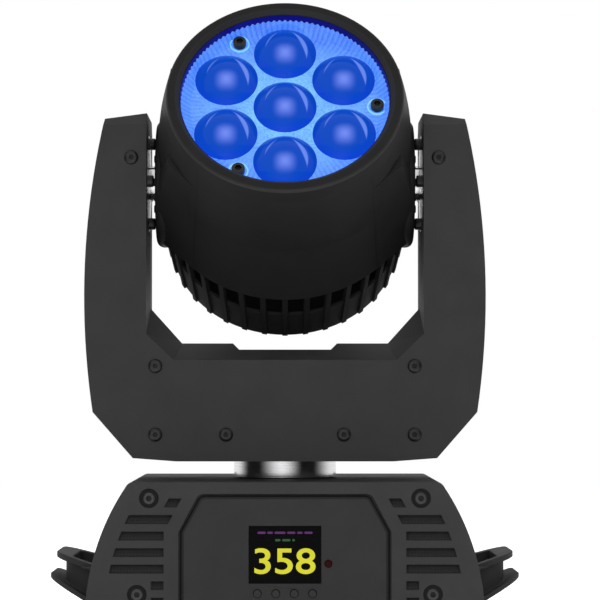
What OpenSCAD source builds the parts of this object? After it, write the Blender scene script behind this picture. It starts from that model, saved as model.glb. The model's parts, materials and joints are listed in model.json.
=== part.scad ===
// Moving head wash light: base, panning yoke and tilting head with a zoom lens plate.
// Millimetres, +Z up, front towards -Y, origin at the centre of the base's underside.

/* [Base] */
// Depth of the base, front to rear
base_d = 200; // [190:1:215]
// Height of the base's top above its underside
base_h = 97.6; // [95:0.2:104]
// Largest width of the base
base_w = 249.6; // [244:0.2:256]
// Radius of the base's curved sides
side_r = 150; // [145:1:170]
// Height at which the base is widest
wide_z = 11.3; // [8:0.1:16]
// Radius along the base's top corners
corner_r = 5; // [3.5:0.1:8]
// Wall of the plastic casings
wall = 2.5; // [2:0.1:3]
// Depth of the front and rear bezels
bezel_d = 14; // [12:0.5:18]
// Thickness of a bezel's face
face_t = 3; // [2.5:0.1:4]
// Thickness of the floor tray
tray_t = 3; // [2:0.1:4]
// Width between the bracket holes in the tray
bracket_x = 106; // [90:1:120]
// Depth between the bracket holes in the tray
bracket_y = 120; // [100:1:130]
// Diameter of a bracket hole
bracket_hole = 10.5; // [8:0.1:13]
// Height of the rubber feet
foot_h = 6; // [4:0.5:10]
// Radius of a rubber foot
foot_r = 10; // [8:0.5:14]
// Distance of a foot's middle from the base's widest side
foot_side = 29.8; // [28:0.1:36]
// Distance of a foot's middle from the base's front or rear
foot_end = 25; // [24:0.5:32]

/* [Control panel] */
// Width of the control panel across its straight sides
panel_w = 132.6; // [128:0.2:136]
// Width of the control panel at its top edge
panel_top_w = 107.6; // [100:0.2:112]
// Height of the panel's top edge
panel_top_z = 90.1; // [88:0.1:91]
// Height where the panel's sides begin to slant
panel_knee_z = 66.6; // [62:0.1:70]
// Height of the panel's bottom edge
panel_bottom_z = 9; // [7:0.5:12]
// Depth of the panel below the bezel's face
panel_set = 1.4; // [0.8:0.1:2]
// Gap round the panel
panel_gap = 0.9; // [0.5:0.1:1.2]
// Width of the display window
display_w = 45; // [40:0.5:50]
// Height of the display window
display_h = 35.6; // [32:0.2:38]
// Height of the display's middle
display_z = 52.3; // [51:0.1:54]
// Diameter of a button
button_dia = 4.8; // [4:0.1:6]
// Distance between the buttons
button_pitch = 11.5; // [10:0.1:13]
// Height of the row of buttons
button_z = 28.2; // [26:0.1:29]
// Travel of a button
button_travel = 1.2; // [0.8:0.1:1.5]
// Diameter of the status lamp
lamp_dia = 4.5; // [3:0.1:5]
// Distance of the status lamp from the middle
lamp_x = 27.1; // [26:0.1:32]
// Height of the status lamp
lamp_z = 46.7; // [44:0.1:52]

/* [Vents and bezel screws] */
// Height of a vent slot
slot_h = 5.3; // [4:0.1:6]
// Distance between vent slots
slot_pitch = 10.3; // [9.5:0.1:11]
// Height of the upper long slot
slot_z = 71.7; // [71:0.1:73]
// Number of long slots on each side
long_slots = 4; // [2:1:4]
// Length of a short slot
short_slot = 7.6; // [6:0.1:9]
// Distance from the slots to the base's side
slot_edge = 12.2; // [11:0.1:15]
// Distance from the slots to the panel
slot_inner = 9.6; // [8:0.1:11]
// Place of the upper bezel screws, from the middle
upper_screw_x = 85; // [84:0.1:87]
// Height of the upper bezel screws
upper_screw_z = 87.5; // [86.5:0.1:88.5]
// Place of the lower bezel screws, from the middle
lower_screw_x = 92.4; // [91:0.1:95]
// Height of the lower bezel screws
lower_screw_z = 27.5; // [26:0.1:29]
// Diameter of the recess round a bezel screw
recess_dia = 12; // [10:0.1:13]
// Diameter of a bezel screw's head
bezel_head = 7.8; // [7:0.1:9]

/* [Handles] */
// Overall width across the handles
handle_span = 304; // [300:0.5:312]
// Length of a handle along the base's side
handle_len = 150; // [140:1:158]
// Height of the handle's upper flange at the tip
handle_tip_z = 52.5; // [51:0.5:55]
// Height of the handle's upper flange at its root inside the base's outline
handle_root_z = 37; // [34:0.5:42]
// Height of the lower flange's outer edge
handle_low_z = 34; // [32:0.5:36]
// Depth of the channel along the outside of the handle
channel_d = 10; // [8:0.5:12]
// Thickness of the handle's flanges
flange_t = 3.8; // [3:0.1:5]
// Thickness of the handle's web
web_t = 5; // [4:0.1:6]

/* [Yoke] */
// Height of the yoke's underside
yoke_z = 109.2; // [108:0.2:112]
// Depth of the yoke
yoke_d = 84; // [80:0.5:90]
// Gap between the yoke's arms and the head's side bosses
head_gap = 5.2; // [4.8:0.1:6]
// Width of an arm at its widest
arm_w = 40; // [38:0.2:43]
// Radius of the yoke's outer sides
yoke_side_r = 510; // [480:5:600]
// Height at which the yoke is widest
yoke_wide_z = 216.5; // [205:0.5:225]
// Height of the arms' inner top corners
arm_top_z = 335; // [330:0.5:338]
// Fall of the arm tops towards their outer sides
arm_fall = 4; // [2:0.1:6]
// Chamfer along the arm tops
arm_chamfer = 8; // [5:0.5:10]
// Height of the crossbar at the front
bar_front_z = 174.6; // [170:0.2:177]
// Height of the crossbar along its middle
bar_ridge_z = 186.3; // [182:0.1:187]
// Height of the saddle in the crossbar's middle
saddle_z = 181.7; // [179:0.1:182]
// Half width of the saddle's floor
saddle_w = 30; // [25:1:40]
// Diameter of a cover screw's head
cover_head = 9; // [8:0.1:10]
// Height of a cover screw's head
cover_head_h = 2.2; // [1.5:0.1:3]

/* [Pan drive] */
// Radius of the silver pan collar
collar_r = 33.7; // [32:0.1:36]
// Radius of the hollow pan shaft
pan_shaft_r = 20; // [18:0.1:22]
// Radius of the cable bore through the pan shaft
pan_bore_r = 12; // [9:0.1:14]
// Pitch radius of the large pan pulley
pan_pulley_r = 45; // [42:0.5:46]
// Pitch radius of the pan motor's pulley
pan_pinion_r = 10; // [8:0.5:11]
// Distance from the pan shaft to the pan motor
pan_motor_x = 62; // [60:0.5:63]
// Height of the chassis bridge
bridge_z = 68; // [64:0.5:70]

/* [Tilt drive] */
// Height of the tilt axis
tilt_z = 291.3; // [289:0.1:294]
// Tilt of the head at rest, from straight up
head_tilt = 58; // [0:1:90]
// Radius of a tilt shaft
tilt_shaft_r = 12; // [10:0.1:13]
// Radius of the cable bore in a tilt shaft
tilt_bore_r = 7; // [5:0.1:8]
// Radius of a bearing flange
tilt_flange_r = 32; // [30:0.1:34]
// Circle of the flange screws, radius
flange_screw_r = 26.4; // [25:0.1:27]
// Circle of the hub screws, radius
hub_screw_r = 16.5; // [16:0.1:18]
// Pitch radius of the large tilt pulley
tilt_pulley_r = 30; // [26:0.5:31]
// Pitch radius of the tilt motor's pulley
tilt_pinion_r = 7.5; // [6:0.5:9]
// Height of the tilt motor's shaft
tilt_motor_z = 145; // [143:0.5:147]

/* [Head] */
// Reach of the front rim from the tilt axis
rim_s = 96.5; // [94:0.5:98]
// Outer radius of the front rim
rim_r = 75.2; // [73:0.1:76]
// Inner radius of the front rim
rim_in_r = 67; // [66.5:0.1:68]
// Largest radius of the barrel
barrel_r = 85.4; // [84:0.1:86]
// Radius of the barrel half way to the front
barrel_mid_r = 82; // [81.5:0.1:82.5]
// Distance of the barrel's rear lip behind the tilt axis
lip_s = 10; // [8:0.5:14]
// Distance from the tilt axis to where the barrel begins to narrow
nose_s = 40; // [35:1:45]
// Distance of the rear end behind the tilt axis
rear_s = 68; // [66:0.5:69]
// Radius of the rear housing at its ribs, at the lip
rear_r = 84.4; // [82:0.1:85]
// Radius of the rear housing at its ribs, at the end
rear_end_r = 78.3; // [76:0.1:79]
// Number of ribs round the rear housing
ribs = 36; // [24:2:40]
// Width of a rib
rib_w = 3.5; // [3:0.1:4]
// Height of a rib
rib_h = 1.2; // [0.8:0.1:1.6]
// Length of the windows between the ribs
window_len = 23; // [16:0.5:25]
// Distance across the head's side bosses
boss_span = 169; // [167:0.2:171]
// Radius of a side boss
boss_r = 42; // [38:0.5:44]
// Radius of the rounded edge of a side boss
boss_edge = 5; // [3:0.1:6]
// Angle at which the flat cheeks leave the barrel
cheek_a = 45; // [40:1:50]

/* [Lens plate and zoom] */
// Distance of the lens plate's face from the tilt axis
plate_s = 83; // [82:0.1:84]
// Thickness of the lens plate
plate_t = 3; // [2:0.1:4]
// Rise of the lens plate's skirt towards its edge
skirt_rise = 6.5; // [5:0.1:8]
// Distance between lens centres
lens_pitch = 43.3; // [42.5:0.1:44]
// Diameter of a lens
lens_dia = 40.2; // [38:0.1:41]
// Height of a lens dome
dome_h = 9; // [7:0.1:11]
// Radius of the circle of guide posts
post_circle_r = 58.7; // [57.5:0.1:59]
// Radius of a guide post
post_r = 3; // [2.5:0.1:3.2]
// Inward travel of the lens plate
zoom_in = 18; // [12:0.5:19]
// Outward travel of the lens plate
zoom_out = 4; // [2:0.5:4]
// Radius of the lead screw
lead_r = 2.5; // [2:0.1:3]
// Distance of the lead screw from the head's axis
lead_circle_r = 61.5; // [61:0.1:62]
// Radius of the heat sink
sink_r = 52; // [48:0.5:52.5]
// Radius of the fan rotor
fan_r = 36; // [33:0.5:37]
// Number of fan blades
blades = 7; // [5:1:9]

/* [Hidden] */
$fn = 64;

// Colours
casing = [0.22, 0.22, 0.23];
bezel_grey = [0.27, 0.27, 0.28];
panel_grey = [0.20, 0.20, 0.21];
black = [0.06, 0.06, 0.07];
barrel_black = [0.12, 0.12, 0.13];
steel = [0.62, 0.63, 0.65];
chrome = [0.80, 0.81, 0.83];
alloy = [0.72, 0.73, 0.74];
board_green = [0.10, 0.32, 0.18];
lens_blue = [0.08, 0.20, 0.85];
plate_blue = [0.35, 0.55, 0.98];
lamp_red = [0.35, 0.05, 0.06];
rubber = [0.09, 0.09, 0.09];
brass = [0.72, 0.58, 0.28];

// Clearance between separate pieces that do not slide on each other
fit = 0.3;
// Radial clearance of a shaft or post in its bearing
running = 0.05;
// Overshoot of a cut past the face it opens
cut = 1;
// Steps along a long arc, and round a corner
arc_steps = 20;
corner_steps = 6;

// Base: places that several pieces share
side_cx = base_w / 2 - side_r;
face_front = -base_d / 2;
face_back = face_front + face_t;
panel_front = face_front + panel_set;
panel_lip = 3;
panel_flange = 2;
panel_back = face_back + panel_flange;
panel_corner = 5;
shell_half = base_d / 2 - bezel_d;
recess_depth = 2;
screen_t = 1.5;
screen_edge = 2.5;
bezel_head_h = 1.6;
bezel_shank_r = 2;
bezel_shank = 9;
bezel_screw_places = [[upper_screw_x, upper_screw_z], [lower_screw_x, lower_screw_z]];

// Chamfer round a rubber foot
foot_bevel = 2;

// Air slots in the floor tray
tray_vents = 5;
tray_vent_x = 28;
tray_vent_y = 20;
tray_vent_pitch = 9;
tray_vent_w = 3;
tray_vent_len = 26;

// Buttons and the display board behind the panel
button_count = 4;
button_r = button_dia / 2;
button_proud = 1.6;
button_fit = 0.15;
button_collar_r = button_r + 1.2;
button_collar = 1;
collar_front = panel_back + fit;
switch_front = collar_front + button_collar + button_travel + fit;
switch_h = 2.2;
switch_r = 2;
board_t = 1.6;
board_front = switch_front + switch_h;
board_w = 80;
board_bottom = button_z - 8;
board_top = display_z + display_h / 2 + 6;
post_inset = 5;
standoff_r = 2.5;
window_t = 2;
window_set = 0.4;
lamp_proud = 1.2;

// Connector plate at the rear
socket_count = 4;
socket_pitch = 32;
socket_z = 34;
socket_r = 11.8;
socket_w = 26;
socket_h = 31;
socket_flange = 2;
socket_len = 24;
socket_mouth_r = 8.8;
socket_mouth = 10;
contact_r = 1.1;
contact_circle_r = 4.6;
contact_len = 6;
contact_turns = [90, 210, 330];
fuse_r = 6.5;
fuse_cap_r = 7.5;
fuse_x = 0;
fuse_z = 68;
fuse_cap = 8;
fuse_len = 22;

// Handles
handle_rake = 30;
handle_root_x = 100;
handle_tip_x = handle_span / 2;
handle_foot_x = 118;
handle_foot_z = 15;
handle_corner = 34;
hand_corner = 9;
handle_lean = 4;
handle_mid_z = (handle_tip_z + handle_low_z) / 2;
handle_fit = 0.1;

// Chassis bridge, power supply and boards inside the base
plate_steel = 3;
bridge_w = 184;
bridge_d = 100;
bridge_foot = 12;
supply_w = 66;
supply_d = 92;
supply_h = 36;
supply_x = -45;
main_board_w = 76;
main_board_d = 92;
main_board_x = 38;
board_post = 6;
chips = 3;
chip_w = 10;
chip_d = 15;
chip_h = 5;
chip_pitch = 19;

// Stepper motors
motor_w = 42;
motor_corner = 5;
motor_len = 32;
motor_boss_r = 11;
motor_boss = 2;
motor_shaft_r = 2.5;
pulley_w = 9;
pulley_rim = 1.2;
belt_w = 6;
belt_t = 1.6;

// Pan drive, from the bridge upwards
bridge_top = bridge_z + plate_steel;
bearing_flange = 3;
bearing_r = 30;
bearing_flange_r = 38;
bearing_depth = 12;
bearing_bore = 3 * bearing_depth;
pulley_lift = 2;
shaft_room = 2;
pan_pulley_z = bridge_top + bearing_flange + pulley_lift;
collar_z = base_h + fit;
shaft_bottom = bridge_z - bearing_depth;

// Head: curves of the barrel and what they carry
ring_len = 10;
ring_s = rim_s - ring_len;
nose_r = (pow(rim_s - nose_s, 2) + pow(barrel_mid_r - rim_r, 2)) / (2 * (barrel_mid_r - rim_r));
nose_steps = 8;
lip_r = 1.8;
rim_bevel = 2.4;
sleeve_t = 1.6;
sleeve_s = 60;
rear_corner = 5.5;
tuck_s = -4;
tuck_r = barrel(tuck_s, wall) - fit;
cheek_mid_s = 34;
cheek_mid_in = 3.1;
cheek_end_s = 72;
cheek_end_in = 10.5;
cheek_slices = [[-lip_s, 0], [cheek_mid_s, cheek_mid_in], [cheek_end_s, cheek_end_in]];
window_in = 8;
window_gap = 2;
window_side = 0.3;
window_w = 2 * PI * (rear_r - rib_h) / ribs - rib_w - 2 * window_side;
boss_wall = 3.5;
rear_wall = 2;
frame_s = 18;
frame_t = 3;
frame_in_r = 47;
frame_out_r = 73;
sink_base = 6;
sink_rear_s = -34;
fin_t = 2;
fin_pitch = 6;
led_w = 5;
led_h = 1.5;
led_board_r = frame_in_r - fit;
shaft_flange_r = 22;
shaft_flange = 3.5;
hub_screws_n = 4;
hub_turn = -head_tilt;
hub_head_r = 2.6;
hub_head = 2;
frame_tab_w = 36;
frame_tab_t = 3;
boss_in = boss_span / 2 - boss_wall;
shaft_flange_in = boss_in - shaft_flange;

// Yoke: frame, flanges and the tilt drive in the right arm
arm_in = boss_span / 2 + head_gap;
yoke_w = 2 * (arm_in + arm_w);
arm_out_cx = yoke_w / 2 - yoke_side_r;
flat_in = 19.7;
yoke_flat = arm_in - flat_in;
yoke_rise = 2.1;
low_out = 8.4;
yoke_low_x = arm_in + low_out;
yoke_knee_z = 141;
gusset_in = 17.7;
gusset_h = 16.8;
gusset_front = [arm_in - gusset_in, gusset_h];
ridge_in = 22;
ridge_h = 23.1;
gusset_ridge = [arm_in - ridge_in, ridge_h];
gusset_lean = 1.2;
tilt_flange_t = 3.5;
arm_plate_in = arm_in + tilt_flange_t;
arm_plate_out = arm_plate_in + plate_steel;
frame_half_d = 30;
frame_lift = 5.8;
frame_short = 14;
frame_z = yoke_z + frame_lift;
frame_top_z = arm_top_z - frame_short;
flange_barrel_r = 20;
flange_barrel = 2;
flange_head_r = 3.9;
flange_head = 4.2;
flange_screw_turns = [0, 90, 180, 270];
tilt_pulley_x = arm_plate_out + flange_barrel + pulley_lift;
shaft_end = tilt_pulley_x;
cover_shank_r = 2;
cover_shank = 12;
arm_screw_out = 9.7;
arm_screw_z = 305.6;
bar_screw_in = 6.1;
bar_screw_x = arm_in - bar_screw_in;
upper_bar_screw_z = 170.7;
lower_bar_screw_z = 126.5;
mid_screw_x = 38;
cover_screws_at = [
    [arm_in + arm_screw_out, arm_screw_z],
    [bar_screw_x, upper_bar_screw_z],
    [bar_screw_x, lower_bar_screw_z],
    [mid_screw_x, lower_bar_screw_z]
];

// Lens plate, posts and lead screw
plate_gap = 0.7;
plate_r = rim_in_r - plate_gap;
plate_back = plate_s - plate_t;
skirt_r = 60;
skirt_edge = 0.8;
cup_r = 6.4;
lens_ledge = 1.4;
lens_seat_r = lens_dia / 2 - lens_ledge;
outer_lenses = 6;
lens_turn = 30;
post_count = 3;
post_turn = 0;
post_end = -4;
bush_r = 5;
bush_flange_r = 7;
bush_flange = 2;
bush_len = 10;
lead_turn = 60;
zoom_motor_r = 9;
zoom_motor_len = 24;
lead_clear = 3;
lead_top = plate_back - zoom_in - lead_clear;
lead_bottom = frame_s - zoom_motor_len / 2 + fit;
nut_r = 4.2;
nut_engage = 14;
nut_bottom = lead_top - zoom_out - nut_engage;
cap_head_r = 4.2;
cap_head = 4.2;
cap_shank_r = 1.5;
lens_rim = 1;

// Fan behind the heat sink
fan_w = 80;
fan_d = 20;
fan_tip = 1.5;
fan_hub_r = 15;
fan_pin_r = 2;
fan_pin = 12;
fan_boss = 3;
fan_strut = 4;
strut_turns = [45, 135];
blade_t = 1.6;
blade_lean = 40;
rotor_h = 14;
vent_slots = 20;
vent_in_r = 20;
vent_out_r = 42;
vent_w = 4;

// Points along an arc, from one angle to another
function arc(c, r, a0, a1, n, first = 0) =
    [for (i = [first : n]) let (a = a0 + (a1 - a0) * i / n) c + r * [cos(a), sin(a)]];

// The same points on the other side, in reverse order
function mirrored(p) = [for (i = [len(p) - 1 : -1 : 0]) [-p[i][0], p[i][1]]];

// Points of a rounded corner at b, between a and c
function fillet(a, b, c, r, n) =
    let (u = (a - b) / norm(a - b), v = (c - b) / norm(c - b))
    let (half = acos(u * v) / 2, m = (u + v) / norm(u + v))
    let (centre = b + m * r / sin(half), back = r / tan(half))
    let (p = b + u * back - centre, q = b + v * back - centre)
    let (a0 = atan2(p[1], p[0]), turn = atan2(q[1], q[0]) - a0)
    arc(centre, r, a0, a0 + turn - 360 * round(turn / 360), n);

// An outline with each corner rounded by its own radius
function rounded(p, r, n = corner_steps) =
    [for (i = [0 : len(p) - 1])
        let (a = p[(i + len(p) - 1) % len(p)], b = p[i], c = p[(i + 1) % len(p)])
        each (r[i] > 0 ? fillet(a, b, c, r[i], n) : [b])];

// Belt round two pulleys, the second one d away along X
function belt_points(r1, r2, d) =
    let (lean = acos((r1 - r2) / d))
    concat(arc([0, 0], r1, lean, 360 - lean, 2 * arc_steps), arc([d, 0], r2, -lean, lean, arc_steps));

// Half width of the base at height z, and of the control panel
function side_x(z, t = 0) = side_cx + sqrt(pow(side_r - t, 2) - pow(z - wide_z, 2));
function panel_x(z) =
    (panel_w - max(z - panel_knee_z, 0) * (panel_w - panel_top_w) / (panel_top_z - panel_knee_z)) / 2;

module along_y(y0, y1) translate([0, y1, 0]) rotate([90, 0, 0]) linear_extrude(y1 - y0) children();

module along_x(x0, x1) translate([x0, 0, 0]) rotate([90, 0, 90]) linear_extrude(x1 - x0) children();

module rod_y(x, z, y0, y1, r) translate([x, y0, z]) rotate([-90, 0, 0]) cylinder(r = r, h = y1 - y0);

module rod_x(y, z, x0, x1, r) translate([x0, y, z]) rotate([0, 90, 0]) cylinder(r = r, h = x1 - x0);

module both_sides() {
    children();
    mirror([1, 0, 0]) children();
}

module at_rear() rotate([0, 0, 180]) children();

// Front view of the base, t inside its surface and cut off at z0
module base_profile(t = 0, z0 = 0) {
    r = side_r - t;
    rc = corner_r - t;
    kz = base_h - corner_r;
    kx = side_cx + sqrt(pow(side_r - corner_r, 2) - pow(kz - wide_z, 2));
    a0 = asin((z0 - wide_z) / r);
    a1 = atan2(kz - wide_z, kx - side_cx);
    half = concat(arc([side_cx, wide_z], r, a0, a1, arc_steps), arc([kx, kz], rc, a1, 90, corner_steps, 1));
    polygon(concat(half, mirrored(half)));
}

// Outline of the control panel, grown by d
module panel_outline(d) {
    half = [
        [panel_w / 2 + d, panel_bottom_z - d],
        [panel_w / 2 + d, panel_knee_z],
        [panel_top_w / 2 + d, panel_top_z + d]
    ];
    polygon(rounded(concat(half, mirrored(half)), [0, 0, panel_corner, panel_corner, 0, 0]));
}

// One vent slot: long ones follow the base's side, short ones end beside a screw
module vent_slot(i) {
    z0 = slot_z - i * slot_pitch;
    z1 = z0 + slot_h;
    long = i >= 0 && i < long_slots;
    in0 = panel_x(z0) + slot_inner;
    in1 = panel_x(z1) + slot_inner;
    out0 = long ? side_x(z0) - slot_edge : in0 + short_slot;
    out1 = long ? side_x(z1) - slot_edge : in1 + short_slot;
    polygon([[in0, z0], [out0, z0], [out1, z1], [in1, z1]]);
}

// Bezel facing forwards; the rear one is the same moulding turned round
module bezel() {
    difference() {
        along_y(face_front, face_front + bezel_d) base_profile();
        along_y(face_back, face_front + bezel_d + cut) base_profile(wall, wall);
        along_y(face_front - cut, face_back + cut) panel_outline(0);
        both_sides() {
            along_y(face_front - cut, face_back + cut)
                for (i = [-1 : long_slots + 1]) vent_slot(i);
            for (p = bezel_screw_places) {
                rod_y(p[0], p[1], face_front - cut, face_front + recess_depth, recess_dia / 2);
                rod_y(p[0], p[1], face_front, face_back + cut, bezel_shank_r + fit);
            }
        }
    }
}

// Dust screen behind one side's vents, clear of the panel's flange and the screws
module vent_screen() along_y(face_back, face_back + screen_t) difference() {
    z0 = slot_z - (long_slots + 1) * slot_pitch - screen_edge;
    z1 = slot_z + slot_pitch + slot_h + screen_edge;
    inner = [for (z = [z1, panel_knee_z, z0]) [panel_x(z) + slot_inner - screen_edge, z]];
    outer = [for (i = [0 : corner_steps]) let (z = z0 + (z1 - z0) * i / corner_steps)
        [side_x(z) - slot_edge + screen_edge, z]];
    polygon(concat(inner, outer));
    for (p = bezel_screw_places) translate(p) circle(d = recess_dia);
}

module vent_screens() color(black) for (turn = [0, 180]) rotate([0, 0, turn]) both_sides() vent_screen();

module base_tray() color(steel) difference() {
    half_w = side_x(0) - wall - fit;
    translate([-half_w, -shell_half, 0]) cube([2 * half_w, 2 * shell_half, tray_t]);
    for (x = [-1, 1], y = [-1, 1]) {
        translate([x * bracket_x / 2, y * bracket_y / 2, -cut])
            cylinder(d = bracket_hole, h = tray_t + 2 * cut);
        for (i = [0 : tray_vents - 1])
            translate([x * (tray_vent_x + i * tray_vent_pitch), y * tray_vent_y, tray_t / 2])
                cube([tray_vent_w, tray_vent_len, tray_t + 2 * cut], center = true);
    }
}

module base_chassis() color(steel) {
    difference() {
        translate([-bridge_w / 2, -bridge_d / 2, bridge_z]) cube([bridge_w, bridge_d, plate_steel]);
        translate([0, 0, bridge_z - cut]) cylinder(r = bearing_r + fit, h = plate_steel + 2 * cut);
        translate([pan_motor_x, 0, bridge_z - cut])
            cylinder(r = motor_boss_r + fit, h = plate_steel + 2 * cut);
    }
    both_sides() {
        translate([bridge_w / 2 - plate_steel, -bridge_d / 2, tray_t])
            cube([plate_steel, bridge_d, bridge_z - tray_t]);
        translate([bridge_w / 2 - plate_steel, -bridge_d / 2, tray_t])
            cube([bridge_foot, bridge_d, plate_steel]);
    }
}

module base_shell() color(casing) difference() {
    along_y(-shell_half, shell_half) difference() {
        base_profile();
        base_profile(wall, -cut);
    }
    translate([0, 0, base_h - wall - cut]) cylinder(r = pan_shaft_r + shaft_room, h = wall + 2 * cut);
}

module front_bezel() color(bezel_grey) bezel();

module rear_bezel() color(bezel_grey) at_rear() bezel();

// Plate that drops into a bezel's opening, with a flange behind the face
module panel_plate() {
    along_y(panel_front, face_back) panel_outline(-panel_gap);
    along_y(face_back, panel_back) panel_outline(panel_lip);
}

module control_panel() color(panel_grey) difference() {
    panel_plate();
    translate([-display_w / 2 - button_fit, panel_front - cut, display_z - display_h / 2 - button_fit])
        cube([display_w + 2 * button_fit, panel_back - panel_front + 2 * cut, display_h + 2 * button_fit]);
    rod_y(lamp_x, lamp_z, panel_front - cut, panel_back + cut, lamp_dia / 2 + button_fit);
    for (i = [0 : 3])
        rod_y(button_x(i), button_z, panel_front - cut, panel_back + cut, button_r + button_fit);
}

function button_x(i) = (i - (button_count - 1) / 2) * button_pitch;

module display_window() color(black)
    translate([-display_w / 2, panel_front + window_set, display_z - display_h / 2])
        cube([display_w, window_t, display_h]);

module status_lamp() color(lamp_red) {
    rod_y(lamp_x, lamp_z, panel_front, board_front, lamp_dia / 2);
    intersection() {
        translate([lamp_x, panel_front, lamp_z]) sphere(d = lamp_dia);
        rod_y(lamp_x, lamp_z, panel_front - lamp_proud, panel_front, lamp_dia / 2);
    }
}

// Push button: cap through the panel and a collar behind it
module button(i) color(black) {
    rod_y(button_x(i), button_z, panel_front - button_proud, collar_front, button_r);
    rod_y(button_x(i), button_z, collar_front, collar_front + button_collar, button_collar_r);
}

module menu_button() button(0);

module down_button() button(1);

module up_button() button(2);

module enter_button() button(3);

module display_board() color(board_green) {
    translate([-board_w / 2, board_front, board_bottom]) cube([board_w, board_t, board_top - board_bottom]);
    for (i = [0 : 3]) rod_y(button_x(i), button_z, switch_front, board_front, switch_r);
    for (x = [-1, 1], z = [board_bottom + post_inset, board_top - post_inset])
        rod_y(x * (board_w / 2 - post_inset), z, panel_back, board_front, standoff_r);
}

function socket_x(i) = (i - (socket_count - 1) / 2) * socket_pitch;

module connector_plate() color(black) at_rear() difference() {
    panel_plate();
    for (i = [0 : 3]) rod_y(socket_x(i), socket_z, panel_front - cut, panel_back + cut, socket_r + fit);
    rod_y(fuse_x, fuse_z, panel_front - cut, panel_back + cut, fuse_r + fit);
}

// Round chassis socket with a square flange, open at its mouth
module socket(i) {
    mouth_back = panel_front - socket_flange + socket_mouth;
    difference() {
        union() {
            translate([socket_x(i) - socket_w / 2, panel_front - socket_flange, socket_z - socket_h / 2])
                cube([socket_w, socket_flange, socket_h]);
            rod_y(socket_x(i), socket_z, panel_front, panel_front + socket_len, socket_r);
        }
        rod_y(socket_x(i), socket_z, panel_front - socket_flange - cut, mouth_back, socket_mouth_r);
    }
    for (a = contact_turns)
        rod_y(socket_x(i) + contact_circle_r * cos(a), socket_z + contact_circle_r * sin(a),
            mouth_back - contact_len, mouth_back, contact_r);
}

module power_sockets() color([0.20, 0.28, 0.45]) at_rear() for (i = [0, 1]) socket(i);

module data_sockets() color(steel) at_rear() for (i = [2, 3]) socket(i);

module fuse_holder() color(black) at_rear() {
    rod_y(fuse_x, fuse_z, panel_front, panel_front + fuse_len, fuse_r);
    rod_y(fuse_x, fuse_z, panel_front - fuse_cap, panel_front, fuse_cap_r);
}

// Plan of the handle's loop, d inside its outer edge
function loop_y(x, d) = -handle_len / 2 + d / cos(handle_rake) + (x - handle_root_x) * tan(handle_rake);

module handle_loop(d, r) {
    tip = handle_tip_x - d;
    points = [
        [handle_root_x, loop_y(handle_root_x, d)],
        [tip, loop_y(tip, d)],
        [tip, -loop_y(tip, d)],
        [handle_root_x, -loop_y(handle_root_x, d)]
    ];
    translate([0, 0, -cut]) linear_extrude(base_h) polygon(rounded(points, [0, r, r, 0]));
}

// Front view of the handle, with its flanges t thinner at the top and bottom
module handle_front(t, over) {
    along_y(-handle_len, handle_len) polygon([
        [handle_root_x, handle_root_z - t],
        [handle_tip_x + over, handle_tip_z - t],
        [handle_tip_x + over, handle_low_z + t],
        [handle_foot_x, handle_foot_z + t],
        [handle_root_x, handle_foot_z + t]
    ]);
}

// Loop handle with a channel round its outside, seated on the base's curved side
module handle() {
    difference() {
        intersection() {
            union() {
                handle_loop(handle_lean, handle_corner - handle_lean);
                intersection() {
                    handle_loop(0, handle_corner);
                    translate([0, -handle_len, -cut]) cube([handle_span, 2 * handle_len, handle_mid_z]);
                }
            }
            handle_front(0, 0);
        }
        handle_loop(channel_d + web_t, hand_corner);
        difference() {
            handle_front(flange_t, cut);
            handle_loop(channel_d, handle_corner - channel_d);
        }
        along_y(-handle_len, handle_len) base_profile(-handle_fit, -cut);
    }
}

module left_handle() color(casing) mirror([1, 0, 0]) handle();

module right_handle() color(casing) handle();

module rubber_feet() color(rubber)
    for (x = [-1, 1], y = [-1, 1])
        translate([x * (base_w / 2 - foot_side), y * (base_d / 2 - foot_end), -foot_h])
            rotate_extrude() polygon([
                [0, 0], [foot_r - foot_bevel, 0], [foot_r, foot_bevel], [foot_r, foot_h], [0, foot_h]
            ]);

// Button-head screw along +Y from the face at y
module face_screw(x, z, y, head_r, head_h, shank_r, shank) {
    dome_r = (head_r * head_r + head_h * head_h) / (2 * head_h);
    rod_y(x, z, y, y + shank, shank_r);
    intersection() {
        translate([x, y + dome_r - head_h, z]) sphere(r = dome_r);
        rod_y(x, z, y - head_h, y, head_r);
    }
}

module bezel_screws() color(steel)
    for (turn = [0, 180], p = bezel_screw_places) rotate([0, 0, turn]) both_sides()
        face_screw(p[0], p[1], face_front + recess_depth, bezel_head / 2, bezel_head_h,
            bezel_shank_r, bezel_shank);

module power_supply() color(alloy)
    translate([supply_x - supply_w / 2, -supply_d / 2, tray_t]) cube([supply_w, supply_d, supply_h]);

module main_board() color(board_green) {
    z = tray_t + board_post;
    translate([main_board_x - main_board_w / 2, -main_board_d / 2, z]) {
        cube([main_board_w, main_board_d, board_t]);
        for (i = [1 : chips]) translate([i * chip_pitch - chip_w / 2, (main_board_d - chip_d) / 2, board_t])
            cube([chip_w, chip_d, chip_h]);
    }
    post_x = main_board_w / 2 - post_inset;
    post_y = main_board_d / 2 - post_inset;
    for (x = [-1, 1], y = [-1, 1])
        translate([main_board_x + x * post_x, y * post_y, tray_t]) cylinder(r = standoff_r, h = board_post);
}

// Pan bearing housing, flanged on the bridge
module pan_bearing() color(steel) difference() {
    union() {
        translate([0, 0, bridge_top]) cylinder(r = bearing_flange_r, h = bearing_flange);
        translate([0, 0, bridge_z - bearing_depth + plate_steel])
            cylinder(r = bearing_r, h = bearing_depth);
    }
    translate([0, 0, bridge_z - bearing_depth]) cylinder(r = pan_shaft_r + running, h = bearing_bore);
}

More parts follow.
